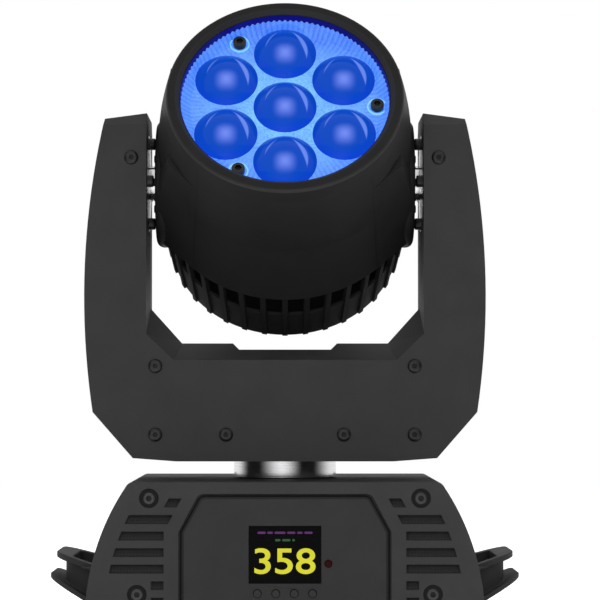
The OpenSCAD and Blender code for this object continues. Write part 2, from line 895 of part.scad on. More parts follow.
// Stepper motor, face at z = 0 and shaft upwards
module motor(shaft) {
    c = motor_w / 2 - motor_corner;
    h = motor_w / 2;
    translate([0, 0, -motor_len]) linear_extrude(motor_len) polygon([
        [h, -c], [h, c], [c, h], [-c, h], [-h, c], [-h, -c], [-c, -h], [c, -h]
    ]);
    cylinder(r = motor_boss_r, h = motor_boss);
    cylinder(r = motor_shaft_r, h = shaft);
}

// Flanged belt pulley with a bore, bottom at z = 0
module pulley(r, bore) difference() {
    rotate_extrude() polygon([
        [0, 0],
        [r + pulley_rim, 0],
        [r + pulley_rim, pulley_rim],
        [r, pulley_rim],
        [r, pulley_w - pulley_rim],
        [r + pulley_rim, pulley_w - pulley_rim],
        [r + pulley_rim, pulley_w],
        [0, pulley_w]
    ]);
    translate([0, 0, -cut]) cylinder(r = bore, h = pulley_w + 2 * cut);
}

module belt(r1, r2, d) translate([0, 0, (pulley_w - belt_w) / 2]) linear_extrude(belt_w) difference() {
    polygon(belt_points(r1 + fit + belt_t, r2 + fit + belt_t, d));
    polygon(belt_points(r1 + fit, r2 + fit, d));
}

module pan_motor() color(black) translate([pan_motor_x, 0, bridge_z])
    motor(pan_pulley_z + pulley_w - bridge_z);

module pan_motor_pulley() color(alloy) translate([pan_motor_x, 0, pan_pulley_z])
    pulley(pan_pinion_r, motor_shaft_r + running);

module pan_belt() color(rubber) translate([0, 0, pan_pulley_z])
    belt(pan_pulley_r, pan_pinion_r, pan_motor_x);

module pan_pulley() color(alloy) translate([0, 0, pan_pulley_z])
    pulley(pan_pulley_r, pan_shaft_r + running);

// Hollow pan shaft with the silver collar that carries the yoke's frame
module pan_shaft() color(chrome) difference() {
    union() {
        translate([0, 0, shaft_bottom]) cylinder(r = pan_shaft_r, h = collar_z - shaft_bottom);
        translate([0, 0, collar_z]) cylinder(r = collar_r, h = frame_z - collar_z);
    }
    translate([0, 0, shaft_bottom - cut]) cylinder(r = pan_bore_r, h = frame_z - shaft_bottom + 2 * cut);
}

// Half of the yoke's front view, t inside its surface
function yoke_half(t) =
    let (r = yoke_side_r - t)
    let (chamfer = atan2(yoke_knee_z - yoke_z - yoke_rise, outer_x(yoke_knee_z, 0) - yoke_low_x))
    let (low = [yoke_low_x - t * tan(chamfer / 2), yoke_z + yoke_rise + t])
    let (knee_a = asin((yoke_knee_z + t / 2 - yoke_wide_z) / r))
    let (top_a = asin((arm_top_z - arm_fall - t - yoke_wide_z) / r))
    concat([[yoke_flat, yoke_z + t], low], arc([arm_out_cx, yoke_wide_z], r, knee_a, top_a, arc_steps));

function outer_x(z, t) = arm_out_cx + sqrt(pow(yoke_side_r - t, 2) - pow(z - yoke_wide_z, 2));

// Solid outside of the yoke, t inside its surface, before the head's space is cut
module yoke_body(t) {
    half = concat(yoke_half(t), [[arm_in + t, arm_top_z - t]]);
    top = arm_top_z - t;
    half_d = yoke_d / 2 - t;
    chamfer = arm_chamfer - t / 2;
    intersection() {
        along_y(-half_d, half_d) polygon(concat(half, mirrored(half)));
        along_x(-yoke_w, yoke_w) polygon([
            [-half_d, 0], [half_d, 0],
            [half_d, top - chamfer], [half_d - chamfer, top],
            [chamfer - half_d, top], [-half_d, top - chamfer]
        ]);
    }
}

// Front view of the space for the head, at the yoke's front or along its middle
module head_space_slice(z, gusset, lean, t) {
    a = atan2(gusset[1], arm_in - lean - gusset[0]);
    half = [
        [gusset[0] + t * tan(a / 2), z - t],
        [arm_in - lean + t, z + gusset[1] - t * tan(45 - a / 2)],
        [arm_in + t, arm_top_z + 2 * cut]
    ];
    polygon(concat(half, mirrored(half)));
}

// Space for the head in the front half of the yoke, its floor rising to the middle
module head_space(t) hull() {
    along_y(-yoke_d / 2 - cut, -yoke_d / 2 + t) head_space_slice(bar_front_z, gusset_front, 0, t);
    along_y(0, cut) head_space_slice(bar_ridge_z, gusset_ridge, gusset_lean, t);
}

// Dip in the middle of the crossbar, with sides at 45 degrees
module saddle(t) {
    rise = bar_ridge_z - saddle_z + cut;
    along_y(-yoke_d, cut) polygon([
        [-saddle_w - t / 2, saddle_z - t],
        [saddle_w + t / 2, saddle_z - t],
        [saddle_w + rise + t / 2, saddle_z + rise],
        [-saddle_w - rise - t / 2, saddle_z + rise]
    ]);
}

// Front half of the yoke's casing
module yoke_cover() difference() {
    intersection() {
        yoke_body(0);
        translate([-yoke_w, -yoke_d, 0]) cube([2 * yoke_w, yoke_d, 2 * arm_top_z]);
    }
    head_space(0);
    saddle(0);
    difference() {
        yoke_body(wall);
        head_space(wall);
        saddle(wall);
    }
    translate([0, 0, yoke_z - cut]) cylinder(r = collar_r + fit, h = wall + 2 * cut);
    both_sides() {
        rod_x(0, tilt_z, arm_in - cut, arm_in + wall + cut, tilt_flange_r + fit);
        for (p = cover_screws_at)
            rod_y(p[0], p[1], -yoke_d / 2 - cut, -yoke_d / 2 + wall + cut, cover_shank_r + fit);
    }
}

module yoke_front_cover() color(casing) yoke_cover();

module yoke_rear_cover() color(casing) at_rear() yoke_cover();

module cover_screws() color(black) for (turn = [0, 180]) rotate([0, 0, turn]) both_sides()
    for (p = cover_screws_at)
        face_screw(p[0], p[1], -yoke_d / 2, cover_head / 2, cover_head_h, cover_shank_r, cover_shank);

// Steel U inside the covers
module yoke_frame() color(steel) difference() {
    union() {
        translate([-arm_plate_out, -frame_half_d, frame_z])
            cube([2 * arm_plate_out, 2 * frame_half_d, plate_steel]);
        both_sides() translate([arm_plate_in, -frame_half_d, frame_z])
            cube([plate_steel, 2 * frame_half_d, frame_top_z - frame_z]);
    }
    translate([0, 0, frame_z - cut]) cylinder(r = pan_bore_r, h = plate_steel + 2 * cut);
    rod_x(0, tilt_z, -arm_plate_out - cut, arm_plate_out + cut, flange_barrel_r + fit);
    rod_x(0, tilt_motor_z, arm_plate_in - cut, arm_plate_out + cut, motor_boss_r + fit);
}

// Bearing flange, flush with the arm's inner wall and seated on the frame
module bearing_flange_piece() difference() {
    union() {
        rod_x(0, tilt_z, arm_in, arm_plate_in, tilt_flange_r);
        rod_x(0, tilt_z, arm_plate_in, arm_plate_out + flange_barrel, flange_barrel_r);
    }
    rod_x(0, tilt_z, arm_in - cut, arm_plate_out + flange_barrel + cut, tilt_shaft_r + running);
}

module bearing_flanges() color(steel) both_sides() bearing_flange_piece();

// Screw along +X from the face at x, its head standing back towards the middle
module side_screw(y, z, x, head_r, head_h) rod_x(y, z, x - head_h, x, head_r);

module flange_screws() color(black) both_sides() for (a = flange_screw_turns)
    side_screw(flange_screw_r * cos(a), tilt_z + flange_screw_r * sin(a), arm_in,
        flange_head_r, flange_head);

module tilt_motor() color(black) translate([arm_plate_in, 0, tilt_motor_z]) rotate([0, 90, 0])
    motor(tilt_pulley_x + pulley_w - arm_plate_in);

module tilt_motor_pulley() color(alloy) translate([tilt_pulley_x, 0, tilt_motor_z]) rotate([0, 90, 0])
    pulley(tilt_pinion_r, motor_shaft_r + running);

module tilt_belt() color(rubber) translate([tilt_pulley_x, 0, tilt_z]) rotate([0, 90, 0])
    belt(tilt_pulley_r, tilt_pinion_r, tilt_z - tilt_motor_z);

// Head: everything below is drawn with the beam along +Z and the tilt axis along X
module in_head() translate([0, 0, tilt_z]) rotate([head_tilt, 0, 0]) children();

// Radius of the barrel at distance s along the beam, t inside its surface
function barrel(s, t) = s < nose_s
    ? barrel_r + (barrel_mid_r - barrel_r) * (s + lip_s) / (nose_s + lip_s) - t
    : barrel_mid_r - nose_r + sqrt(pow(nose_r, 2) - pow(s - nose_s, 2)) - t;

function nose_points(s0, s1, t) =
    [for (i = [0 : nose_steps]) let (s = s0 + (s1 - s0) * i / nose_steps) [barrel(s, t), s]];

module barrel_solid(t, s0, s1) rotate_extrude()
    polygon(concat([[0, s0], [barrel(s0, t), s0]], nose_points(nose_s, s1, t), [[0, s1]]));

module cross_rod(r, len) rotate([0, 90, 0]) cylinder(r = r, h = len, center = true);

// Cross-section of the flat cheeks at distance s, this far inside the plane of the side bosses
module cheek_slice(s, inside) {
    r = barrel(s, 0);
    flat_x = boss_span / 2 - inside;
    flat_y = (r - flat_x * cos(cheek_a)) / sin(cheek_a);
    side = [[r * cos(cheek_a), -r * sin(cheek_a)], [flat_x, -flat_y]];
    half = concat(side, [for (i = [1, 0]) [side[i][0], -side[i][1]]]);
    polygon(concat(half, mirrored(half)));
}

// Flat cheeks that run from the barrel to the side bosses and taper towards the nose
module cheeks() hull() for (p = cheek_slices)
    translate([0, 0, p[0]]) linear_extrude(cut) cheek_slice(p[0], p[1]);

// Disc on each side of the head, with a rounded edge
module bosses() both_sides() rotate([0, 90, 0]) rotate_extrude() polygon(concat(
    [[0, 0], [boss_r, 0]],
    arc([boss_r - boss_edge, boss_span / 2 - boss_edge], boss_edge, 0, 90, corner_steps),
    [[0, boss_span / 2]]
));

module head_shell() color(barrel_black) in_head() difference() {
    intersection() {
        union() {
            barrel_solid(0, -lip_s, ring_s);
            cheeks();
            bosses();
        }
        cube([boss_span, 2 * boss_span, 2 * boss_span], center = true);
    }
    difference() {
        barrel_solid(wall, -lip_s - cut, ring_s + cut);
        both_sides() rod_x(0, 0, boss_in, boss_span / 2, boss_r);
    }
    intersection() {
        translate([0, 0, -boss_r - cut]) cylinder(r = rear_r + fit, h = boss_r + cut - lip_s);
        translate([-boss_in, -boss_span, -boss_span]) cube([2 * boss_in, 2 * boss_span, boss_span]);
    }
    cross_rod(boss_r - boss_wall, 2 * boss_in);
    cross_rod(tilt_shaft_r + fit, boss_span + 2 * cut);
}

// Front ring with a rounded lip, a bevelled mouth and the sleeve that the lens plate slides in
module front_ring() color(barrel_black) in_head() rotate_extrude() polygon(concat(
    [[rim_in_r + sleeve_t, sleeve_s], [rim_in_r + sleeve_t, ring_s], [barrel(ring_s, wall), ring_s]],
    nose_points(ring_s, rim_s - lip_r, 0),
    arc([barrel(rim_s - lip_r, 0) - lip_r, rim_s - lip_r], lip_r, 0, 90, corner_steps, 1),
    [[rim_in_r + rim_bevel, rim_s], [rim_in_r, rim_s - rim_bevel], [rim_in_r, sleeve_s]]
));

// Radius of the rear housing over its ribs
function rear_x(s) = rear_end_r + (rear_r - rear_end_r) * (s + rear_s) / (rear_s - lip_s);

// Side view of the rear housing, t inside its panels
module rear_profile(t) {
    end = t - rear_s;
    end_r = rear_x(-rear_s) - rib_h - t;
    polygon(concat(
        [[0, end]],
        arc([end_r - rear_corner + t, end + rear_corner - t], rear_corner - t, -90, 0, corner_steps),
        [[rear_r - rib_h - t, -lip_s - fit], [tuck_r - t, -lip_s - fit], [tuck_r - t, tuck_s], [0, tuck_s]]
    ));
}

// Ribbed cup: bars over a ring of open windows at the front, closed panels and a fan grille behind
module rear_housing() color(black) in_head() difference() {
    union() {
        rotate_extrude() rear_profile(0);
        translate([0, 0, -lip_s - fit]) cylinder(r = tuck_r, h = lip_s + fit + tuck_s);
        intersection() {
            rotate_extrude() polygon([
                [rear_r - 2 * rib_h, -lip_s - fit],
                [rear_r, -lip_s - fit],
                [rear_x(rear_corner - rear_s), rear_corner - rear_s],
                [rear_end_r - 2 * rib_h, rear_corner - rear_s]
            ]);
            for (i = [0 : ribs / 2 - 1]) rotate([0, 0, i * 360 / ribs])
                translate([-rear_r, -rib_w / 2, -rear_s]) cube([2 * rear_r, rib_w, rear_s]);
        }
    }
    rotate_extrude() rear_profile(rear_wall);
    translate([0, 0, -lip_s - fit]) cylinder(r = tuck_r - rear_wall, h = lip_s + fit + tuck_s + cut);
    for (i = [0 : ribs - 1]) rotate([0, 0, (i + 0.5) * 360 / ribs])
        translate([rear_r - window_in, -window_w / 2, -lip_s - window_gap - window_len])
            cube([2 * window_in, window_w, window_len]);
    both_sides() rod_x(0, 0, boss_in - window_in, boss_span, boss_r + fit);
    for (i = [0 : vent_slots - 1]) rotate([0, 0, i * 360 / vent_slots])
        translate([vent_in_r, -vent_w / 2, -rear_s - cut])
            cube([vent_out_r - vent_in_r, vent_w, rear_wall + 2 * cut]);
}

module round_places(r, n, turn)
    for (i = [0 : n - 1]) rotate([0, 0, turn + i * 360 / n]) translate([r, 0, 0]) children();

module head_frame() color(steel) in_head() difference() {
    union() {
        translate([0, 0, frame_s]) cylinder(r = frame_out_r, h = frame_t);
        both_sides() {
            translate([frame_in_r + cut, -frame_tab_w / 2, frame_s])
                cube([shaft_flange_in - frame_in_r - cut, frame_tab_w, frame_t]);
            translate([shaft_flange_in - frame_tab_t, -frame_tab_w / 2, -frame_tab_w / 2])
                cube([frame_tab_t, frame_tab_w, frame_tab_w / 2 + frame_s]);
        }
    }
    translate([0, 0, frame_s - cut]) cylinder(r = frame_in_r, h = frame_t + 2 * cut);
    round_places(post_circle_r, post_count, post_turn)
        translate([0, 0, frame_s - cut]) cylinder(r = bush_r + running, h = frame_t + 2 * cut);
    round_places(lead_circle_r, 1, lead_turn)
        translate([0, 0, frame_s - cut]) cylinder(r = lead_r + fit, h = frame_t + 2 * cut);
}

module heat_sink() color(alloy) in_head() {
    translate([0, 0, frame_s - sink_base]) cylinder(r = sink_r, h = sink_base);
    intersection() {
        translate([0, 0, sink_rear_s]) cylinder(r = sink_r, h = frame_s - sink_rear_s - sink_base);
        for (x = [-sink_r + fin_pitch / 2 : fin_pitch : sink_r])
            translate([x, -sink_r, sink_rear_s])
                cube([fin_t, 2 * sink_r, frame_s - sink_rear_s - sink_base]);
    }
}

module lens_places() {
    children();
    round_places(lens_pitch, outer_lenses, lens_turn) children();
}

module led_board() color(board_green) in_head()
    translate([0, 0, frame_s]) cylinder(r = led_board_r, h = board_t);

module led_emitters() color("white") in_head() lens_places()
    translate([-led_w / 2, -led_w / 2, frame_s + board_t]) cube([led_w, led_w, led_h]);

// Hollow tilt shaft with the flange that the head hangs on
module tilt_shaft(end) in_head() difference() {
    union() {
        rod_x(0, 0, shaft_flange_in, boss_in, shaft_flange_r);
        rod_x(0, 0, boss_in, end, tilt_shaft_r);
    }
    rod_x(0, 0, shaft_flange_in - cut, end + cut, tilt_bore_r);
}

module left_tilt_shaft() color(chrome) mirror([1, 0, 0]) tilt_shaft(shaft_end);

module right_tilt_shaft() color(chrome) tilt_shaft(tilt_pulley_x + pulley_w);

module hub_screws() color(black) in_head() both_sides() for (i = [0 : hub_screws_n - 1])
    rotate([hub_turn + i * 360 / hub_screws_n, 0, 0])
        rod_x(0, hub_screw_r, boss_span / 2, boss_span / 2 + hub_head, hub_head_r);

module tilt_pulley() color(alloy) in_head() translate([tilt_pulley_x, 0, 0]) rotate([0, 90, 0])
    pulley(tilt_pulley_r, tilt_shaft_r + running);

module fan_frame() color(black) in_head() translate([0, 0, rear_wall - rear_s]) {
    difference() {
        translate([-fan_w / 2, -fan_w / 2, 0]) cube([fan_w, fan_w, fan_d]);
        translate([0, 0, -cut]) cylinder(r = fan_r + fan_tip, h = fan_d + 2 * cut);
    }
    cylinder(r = fan_hub_r, h = fan_boss);
    cylinder(r = fan_pin_r, h = fan_boss + fan_pin);
    for (a = strut_turns) rotate([0, 0, a])
        translate([-fan_r - 2 * fan_tip, -fan_strut / 2, 0])
            cube([2 * fan_r + 4 * fan_tip, fan_strut, fan_boss]);
}

module fan_rotor() color(barrel_black) in_head()
translate([0, 0, rear_wall - rear_s + fan_boss + fit]) difference() {
    union() {
        cylinder(r = fan_hub_r, h = rotor_h);
        intersection() {
            cylinder(r = fan_r, h = rotor_h);
            for (i = [0 : blades - 1]) rotate([0, 0, i * 360 / blades])
                translate([fan_r / 2, 0, rotor_h / 2]) rotate([blade_lean, 0, 0])
                    cube([fan_r + fan_tip, rotor_h, blade_t], center = true);
        }
    }
    translate([0, 0, -cut]) cylinder(r = fan_pin_r + running, h = fan_pin + cut);
}

module zoom_motor() color(black) in_head() round_places(lead_circle_r, 1, lead_turn)
    translate([0, 0, frame_s - zoom_motor_len]) difference() {
        cylinder(r = zoom_motor_r, h = zoom_motor_len);
        translate([0, 0, zoom_motor_len / 2]) cylinder(r = lead_r + running, h = zoom_motor_len);
    }

module zoom_screw() color(steel) in_head() round_places(lead_circle_r, 1, lead_turn)
    translate([0, 0, lead_bottom]) cylinder(r = lead_r, h = lead_top - lead_bottom);

module zoom_bushes() color(brass) in_head() round_places(post_circle_r, post_count, post_turn)
    translate([0, 0, frame_s + frame_t]) difference() {
        union() {
            translate([0, 0, -bush_len]) cylinder(r = bush_r, h = 2 * bush_len);
            cylinder(r = bush_flange_r, h = bush_flange);
        }
        translate([0, 0, -2 * bush_len]) cylinder(r = post_r + running, h = 4 * bush_len);
    }

// Plate with a skirt sloping up to its edge, scooped out round the lenses and screws
module lens_plate() color(plate_blue) in_head() difference() {
    rotate_extrude() polygon([
        [0, plate_back],
        [plate_r, plate_back],
        [plate_r, plate_s + skirt_rise],
        [plate_r - skirt_edge, plate_s + skirt_rise],
        [skirt_r, plate_s],
        [0, plate_s]
    ]);
    lens_places() {
        translate([0, 0, plate_back - cut]) cylinder(r = lens_seat_r, h = plate_t + 2 * cut);
        translate([0, 0, plate_s]) cylinder(r = lens_dia / 2 + fit, h = skirt_rise + cut);
    }
    round_places(post_circle_r, post_count, post_turn) {
        translate([0, 0, plate_back - cut]) cylinder(r = cap_shank_r + fit, h = plate_t + 2 * cut);
        translate([0, 0, plate_s]) cylinder(r = cup_r, h = skirt_rise + cut);
    }
}

// Plano-convex lens, seated through the plate
module lenses() color(lens_blue) in_head() {
    cap = dome_h - lens_rim;
    dome_r = (pow(lens_dia / 2, 2) + cap * cap) / (2 * cap);
    edge_a = asin((dome_r - cap) / dome_r);
    lens_places() translate([0, 0, plate_s]) rotate_extrude() polygon(concat(
        [[0, -plate_t], [lens_seat_r - fit, -plate_t], [lens_seat_r - fit, 0], [lens_dia / 2, 0]],
        arc([0, dome_h - dome_r], dome_r, edge_a, 90, arc_steps)
    ));
}

module guide_posts() color(steel) in_head() round_places(post_circle_r, post_count, post_turn)
    translate([0, 0, post_end]) cylinder(r = post_r, h = plate_back - post_end);

module zoom_nut() color(brass) in_head() round_places(lead_circle_r, 1, lead_turn) difference() {
    translate([0, 0, nut_bottom]) cylinder(r = nut_r, h = plate_back - nut_bottom);
    translate([0, 0, nut_bottom - cut]) cylinder(r = lead_r + fit, h = plate_back - nut_bottom);
}

module lens_screws() color(black) in_head() round_places(post_circle_r, post_count, post_turn)
translate([0, 0, plate_s]) {
    cylinder(r = cap_head_r, h = cap_head);
    translate([0, 0, -plate_t]) cylinder(r = cap_shank_r, h = plate_t);
}

base_tray();
base_chassis();
base_shell();
front_bezel();
rear_bezel();
control_panel();
display_window();
status_lamp();
menu_button();
down_button();
up_button();
enter_button();
display_board();
connector_plate();
power_sockets();
data_sockets();
fuse_holder();
vent_screens();
left_handle();
right_handle();
rubber_feet();
bezel_screws();
power_supply();
main_board();
pan_bearing();
pan_motor();
pan_motor_pulley();
pan_belt();
pan_shaft();
pan_pulley();
yoke_frame();
yoke_front_cover();
yoke_rear_cover();
cover_screws();
bearing_flanges();
flange_screws();
tilt_motor();
tilt_motor_pulley();
tilt_belt();
head_shell();
front_ring();
rear_housing();
head_frame();
heat_sink();
led_board();
led_emitters();
left_tilt_shaft();
right_tilt_shaft();
hub_screws();
tilt_pulley();
fan_frame();
fan_rotor();
zoom_motor();
zoom_screw();
zoom_bushes();
lens_plate();
lenses();
guide_posts();
zoom_nut();
lens_screws();
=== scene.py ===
import json
import math

import bmesh
import bpy
from mathutils import Matrix, Vector


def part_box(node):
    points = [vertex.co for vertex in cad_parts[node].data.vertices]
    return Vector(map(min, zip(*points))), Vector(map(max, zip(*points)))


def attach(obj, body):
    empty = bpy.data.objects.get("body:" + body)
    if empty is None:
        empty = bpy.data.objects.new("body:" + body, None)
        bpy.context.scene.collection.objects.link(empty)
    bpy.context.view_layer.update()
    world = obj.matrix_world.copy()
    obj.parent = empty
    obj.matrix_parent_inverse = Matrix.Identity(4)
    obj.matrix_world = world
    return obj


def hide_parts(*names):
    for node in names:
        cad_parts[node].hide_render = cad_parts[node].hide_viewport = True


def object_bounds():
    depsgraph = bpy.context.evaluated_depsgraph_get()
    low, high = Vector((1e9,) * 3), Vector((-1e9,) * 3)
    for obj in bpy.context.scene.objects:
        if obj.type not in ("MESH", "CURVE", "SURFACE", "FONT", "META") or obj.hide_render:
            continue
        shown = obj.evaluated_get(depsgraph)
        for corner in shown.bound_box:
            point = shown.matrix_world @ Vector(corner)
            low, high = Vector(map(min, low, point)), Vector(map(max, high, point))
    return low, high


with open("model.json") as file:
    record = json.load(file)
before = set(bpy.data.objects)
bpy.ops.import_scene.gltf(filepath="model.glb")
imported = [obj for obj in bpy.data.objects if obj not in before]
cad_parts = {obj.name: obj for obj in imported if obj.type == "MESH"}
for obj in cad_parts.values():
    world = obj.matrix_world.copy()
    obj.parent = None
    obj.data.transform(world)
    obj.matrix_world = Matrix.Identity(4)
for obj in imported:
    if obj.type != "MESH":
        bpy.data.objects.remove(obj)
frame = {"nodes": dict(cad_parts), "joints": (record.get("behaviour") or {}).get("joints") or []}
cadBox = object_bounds()
nodes = frame["nodes"]
joints = {joint["name"]: joint for joint in frame["joints"]}
mm = 0.001
samePlace = 0.001 * mm
print("frame loaded:", len(nodes), "nodes")

# The head's own space: z along the beam, x along the tilt axis
beam = Vector(joints["zoom"]["axis"]).normalized()
across = Vector((1, 0, 0))
headAxes = Matrix((across, beam.cross(across), beam)).transposed()
headSpace = Matrix.Translation(joints["tilt"]["pos_m"]) @ headAxes.to_4x4()


# Reading places from the frame

def boxOf(points):
    low = Vector([min(p[i] for p in points) for i in range(3)])
    high = Vector([max(p[i] for p in points) for i in range(3)])
    return low, high


def nodeBox(name, space):
    toSpace = space.inverted()
    return boxOf([toSpace @ v.co for v in nodes[name].data.vertices])


def weldPoints(bm):
    bmesh.ops.remove_doubles(bm, verts=bm.verts, dist=samePlace)


def nodeMesh(name):
    bm = bmesh.new()
    bm.from_mesh(nodes[name].data)
    weldPoints(bm)
    return bm


def solidsOf(name, space=Matrix()):
    # boxes of the separate solids in one node, in its mesh order
    bm = nodeMesh(name)
    toSpace = space.inverted()
    waiting = set(bm.verts)
    solids = []
    for start in list(bm.verts):
        if start not in waiting:
            continue
        waiting.discard(start)
        queue, points = [start], []
        while queue:
            vert = queue.pop()
            points.append(toSpace @ vert.co)
            for edge in vert.link_edges:
                other = edge.other_vert(vert)
                if other in waiting:
                    waiting.discard(other)
                    queue.append(other)
        solids.append(boxOf(points))
    bm.free()
    return solids


# Mesh building

def smoothStep(share):
    t = min(1, max(0, share))
    return t * t * (3 - 2 * t)


def facing(origin, direction):
    # a place whose z points along direction
    turn = Vector(direction).to_track_quat("Z", "Y")
    return Matrix.Translation(origin) @ turn.to_matrix().to_4x4()


def ringPoints(count, radius, corners=0, ripple=0.0, teeth=0):
    points = []
    for i in range(count):
        angle = 2 * math.pi * i / count
        r = radius
        if corners:
            step = 2 * math.pi / corners
            r = radius * math.cos(step / 2) / math.cos(angle % step - step / 2)
        if teeth:
            r -= ripple * (0.5 - 0.5 * math.cos(teeth * angle))
        points.append((r * math.cos(angle), r * math.sin(angle)))
    return points


def bridge(bm, a, b):
    # a band of four-sided faces between two closed loops
    faces = []
    for i in range(len(a)):
        j = (i + 1) % len(a)
        faces.append(bm.faces.new((a[i], a[j], b[j], b[i])))
    return faces


def closeTo(bm, pole, loop):
    for i in range(len(loop)):
        bm.faces.new((pole, loop[i], loop[(i + 1) % len(loop)]))


def addRings(bm, rings, place):
    # rings are (points, height); a ring of None is the pole that closes the skin
    loops = []
    for points, height in rings:
        if points is None:
            loops.append(bm.verts.new(place @ Vector((0, 0, height))))
        else:
            loops.append([bm.verts.new(place @ Vector((x, y, height))) for x, y in points])
    for a, b in zip(loops, loops[1:]):
        if not isinstance(a, list):
            closeTo(bm, a, b)
        elif not isinstance(b, list):
            closeTo(bm, b, a)
        else:
            bridge(bm, a, b)


def addLathe(bm, profile, place, count=64):
    addRings(bm, [(ringPoints(count, r) if r > 0 else None, z) for r, z in profile], place)


def arcProfile(radius, base, top, steps):
    # profile of a dome with this rim radius, from its rim up to its pole
    rise = top - base
    domeR = (radius * radius + rise * rise) / (2 * rise)
    rimAngle = math.asin(min(1, radius / domeR))
    leans = [rimAngle * (1 - i / steps) for i in range(steps + 1)]
    return [(domeR * math.sin(lean), top - domeR + domeR * math.cos(lean)) for lean in leans]


def mapFlat(faces, layer, place, radius):
    # x and y of each corner in the given place, with the rim at 1
    toPlace = place.inverted()
    for face in faces:
        for loop in face.loops:
            spot = toPlace @ loop.vert.co
            loop[layer].uv = (spot.x / radius, spot.y / radius)


def meshObject(name, bm, materials):
    mesh = bpy.data.meshes.new(name)
    bm.to_mesh(mesh)
    bm.free()
    for material in materials:
        mesh.materials.append(material)
    obj = bpy.data.objects.new(name, mesh)
    bpy.context.scene.collection.objects.link(obj)
    return obj


def makePiece(name, bm, finishNames, body, stands=(), sharp=35):
    bmesh.ops.recalc_face_normals(bm, faces=bm.faces)
    obj = meshObject(name, bm, [finishes[finish] for finish in finishNames])
    for face in obj.data.polygons:
        face.use_smooth = True
    obj.data.set_sharp_from_angle(angle=math.radians(sharp))
    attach(obj, body)
    if stands:
        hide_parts(*stands)


# Shader building

def setInputs(tree, made, inputs):
    # sockets are linked and plain values set; a colour may leave out its alpha
    for key, value in inputs.items():
        socket = made.inputs[key]
        if isinstance(value, bpy.types.NodeSocket):
            tree.links.new(value, socket)
        elif socket.type == "RGBA" and len(value) == 3:
            socket.default_value = (*value, 1)
        else:
            socket.default_value = value


def addNode(tree, kind, inputs=None, **settings):
    made = tree.nodes.new("ShaderNode" + kind)
    for key, value in settings.items():
        setattr(made, key, value)
    setInputs(tree, made, inputs or {})
    return made


def mixColours(tree, factor, first, second):
    return addNode(tree, "Mix", {0: factor, 6: first, 7: second}, data_type="RGBA").outputs[2]


def mapRange(tree, value, low, high, toLow=0.0, toHigh=1.0, smooth=False):
    inputs = {"Value": value, "From Min": low, "From Max": high, "To Min": toLow, "To Max": toHigh}
    kind = "SMOOTHSTEP" if smooth else "LINEAR"
    return addNode(tree, "MapRange", inputs, interpolation_type=kind).outputs["Result"]


def maths(tree, operation, a, b=0.0):
    return addNode(tree, "Math", {0: a, 1: b}, operation=operation).outputs[0]


def lengthOf(tree, vector):
    return addNode(tree, "VectorMath", {0: vector}, operation="LENGTH").outputs["Value"]


def objectPoint(tree):
    return addNode(tree, "TexCoord").outputs["Object"]


def noise(tree, point, scale, detail):
    return addNode(tree, "TexNoise", {"Vector": point, "Scale": scale, "Detail": detail}).outputs["Fac"]


def pebbles(tree, point, scale):
    inputs = {"Vector": point, "Scale": scale}
    return addNode(tree, "TexVoronoi", inputs, feature="SMOOTH_F1").outputs["Distance"]


def splitPoint(tree, point):
    return addNode(tree, "SeparateXYZ", {0: point}).outputs


def startGroup(name, inputs, outputs):
    group = bpy.data.node_groups.new(name, "ShaderNodeTree")
    for label, value in inputs.items():
        socket = group.interface.new_socket(name=label, in_out="INPUT", socket_type="NodeSocketFloat")
        socket.default_value = value
    for label in outputs:
        group.interface.new_socket(name=label, in_out="OUTPUT", socket_type="NodeSocketFloat")
    enter = group.nodes.new("NodeGroupInput")
    leave = group.nodes.new("NodeGroupOutput")
    return group, enter.outputs, leave


def placeGroup(tree, group, **values):
    made = tree.nodes.new("ShaderNodeGroup")
    made.node_tree = group
    setInputs(tree, made, values)
    return made.outputs


shadeRange = {"low": 0.3, "high": 0.7}  # where noise is spread to a full 0 to 1
grainSettings = {"patchScale": 0.03, "patchShare": 0.6}


def makeMouldGrain(s):
    # spark-eroded mould texture: fine pebbles with slow patches
    group, enter, leave = startGroup("mouldGrain", {"Scale": 900.0}, ["Height", "Shade"])
    point = objectPoint(group)
    speck = noise(group, point, enter["Scale"], 3.0)
    height = maths(group, "ADD", pebbles(group, point, enter["Scale"]), speck)
    patches = noise(group, point, maths(group, "MULTIPLY", enter["Scale"], s["patchScale"]), 4.0)
    slow = maths(group, "MULTIPLY", patches, s["patchShare"])
    quick = maths(group, "MULTIPLY", speck, 1 - s["patchShare"])
    shade = mapRange(group, maths(group, "ADD", slow, quick), shadeRange["low"], shadeRange["high"])
    setInputs(group, leave, {"Height": height, "Shade": shade})
    return group


wearSettings = {"patchScale": 120.0, "broken": 0.35, "whole": 0.7}


def makeEdgeWear(s):
    # bare edges, broken up into patches
    group, enter, leave = startGroup("edgeWear", {"Start": 0.53, "End": 0.62, "Amount": 0.5}, ["Mask"])
    bend = addNode(group, "NewGeometry").outputs["Pointiness"]
    edge = mapRange(group, bend, enter["Start"], enter["End"])
    patches = noise(group, objectPoint(group), s["patchScale"], 5.0)
    worn = maths(group, "MULTIPLY", edge, mapRange(group, patches, s["broken"], s["whole"]))
    setInputs(group, leave, {"Mask": maths(group, "MULTIPLY", worn, enter["Amount"])})
    return group


dustSettings = {"cloudScale": 45.0, "clear": 0.35, "thick": 0.75, "slope": 0.3}


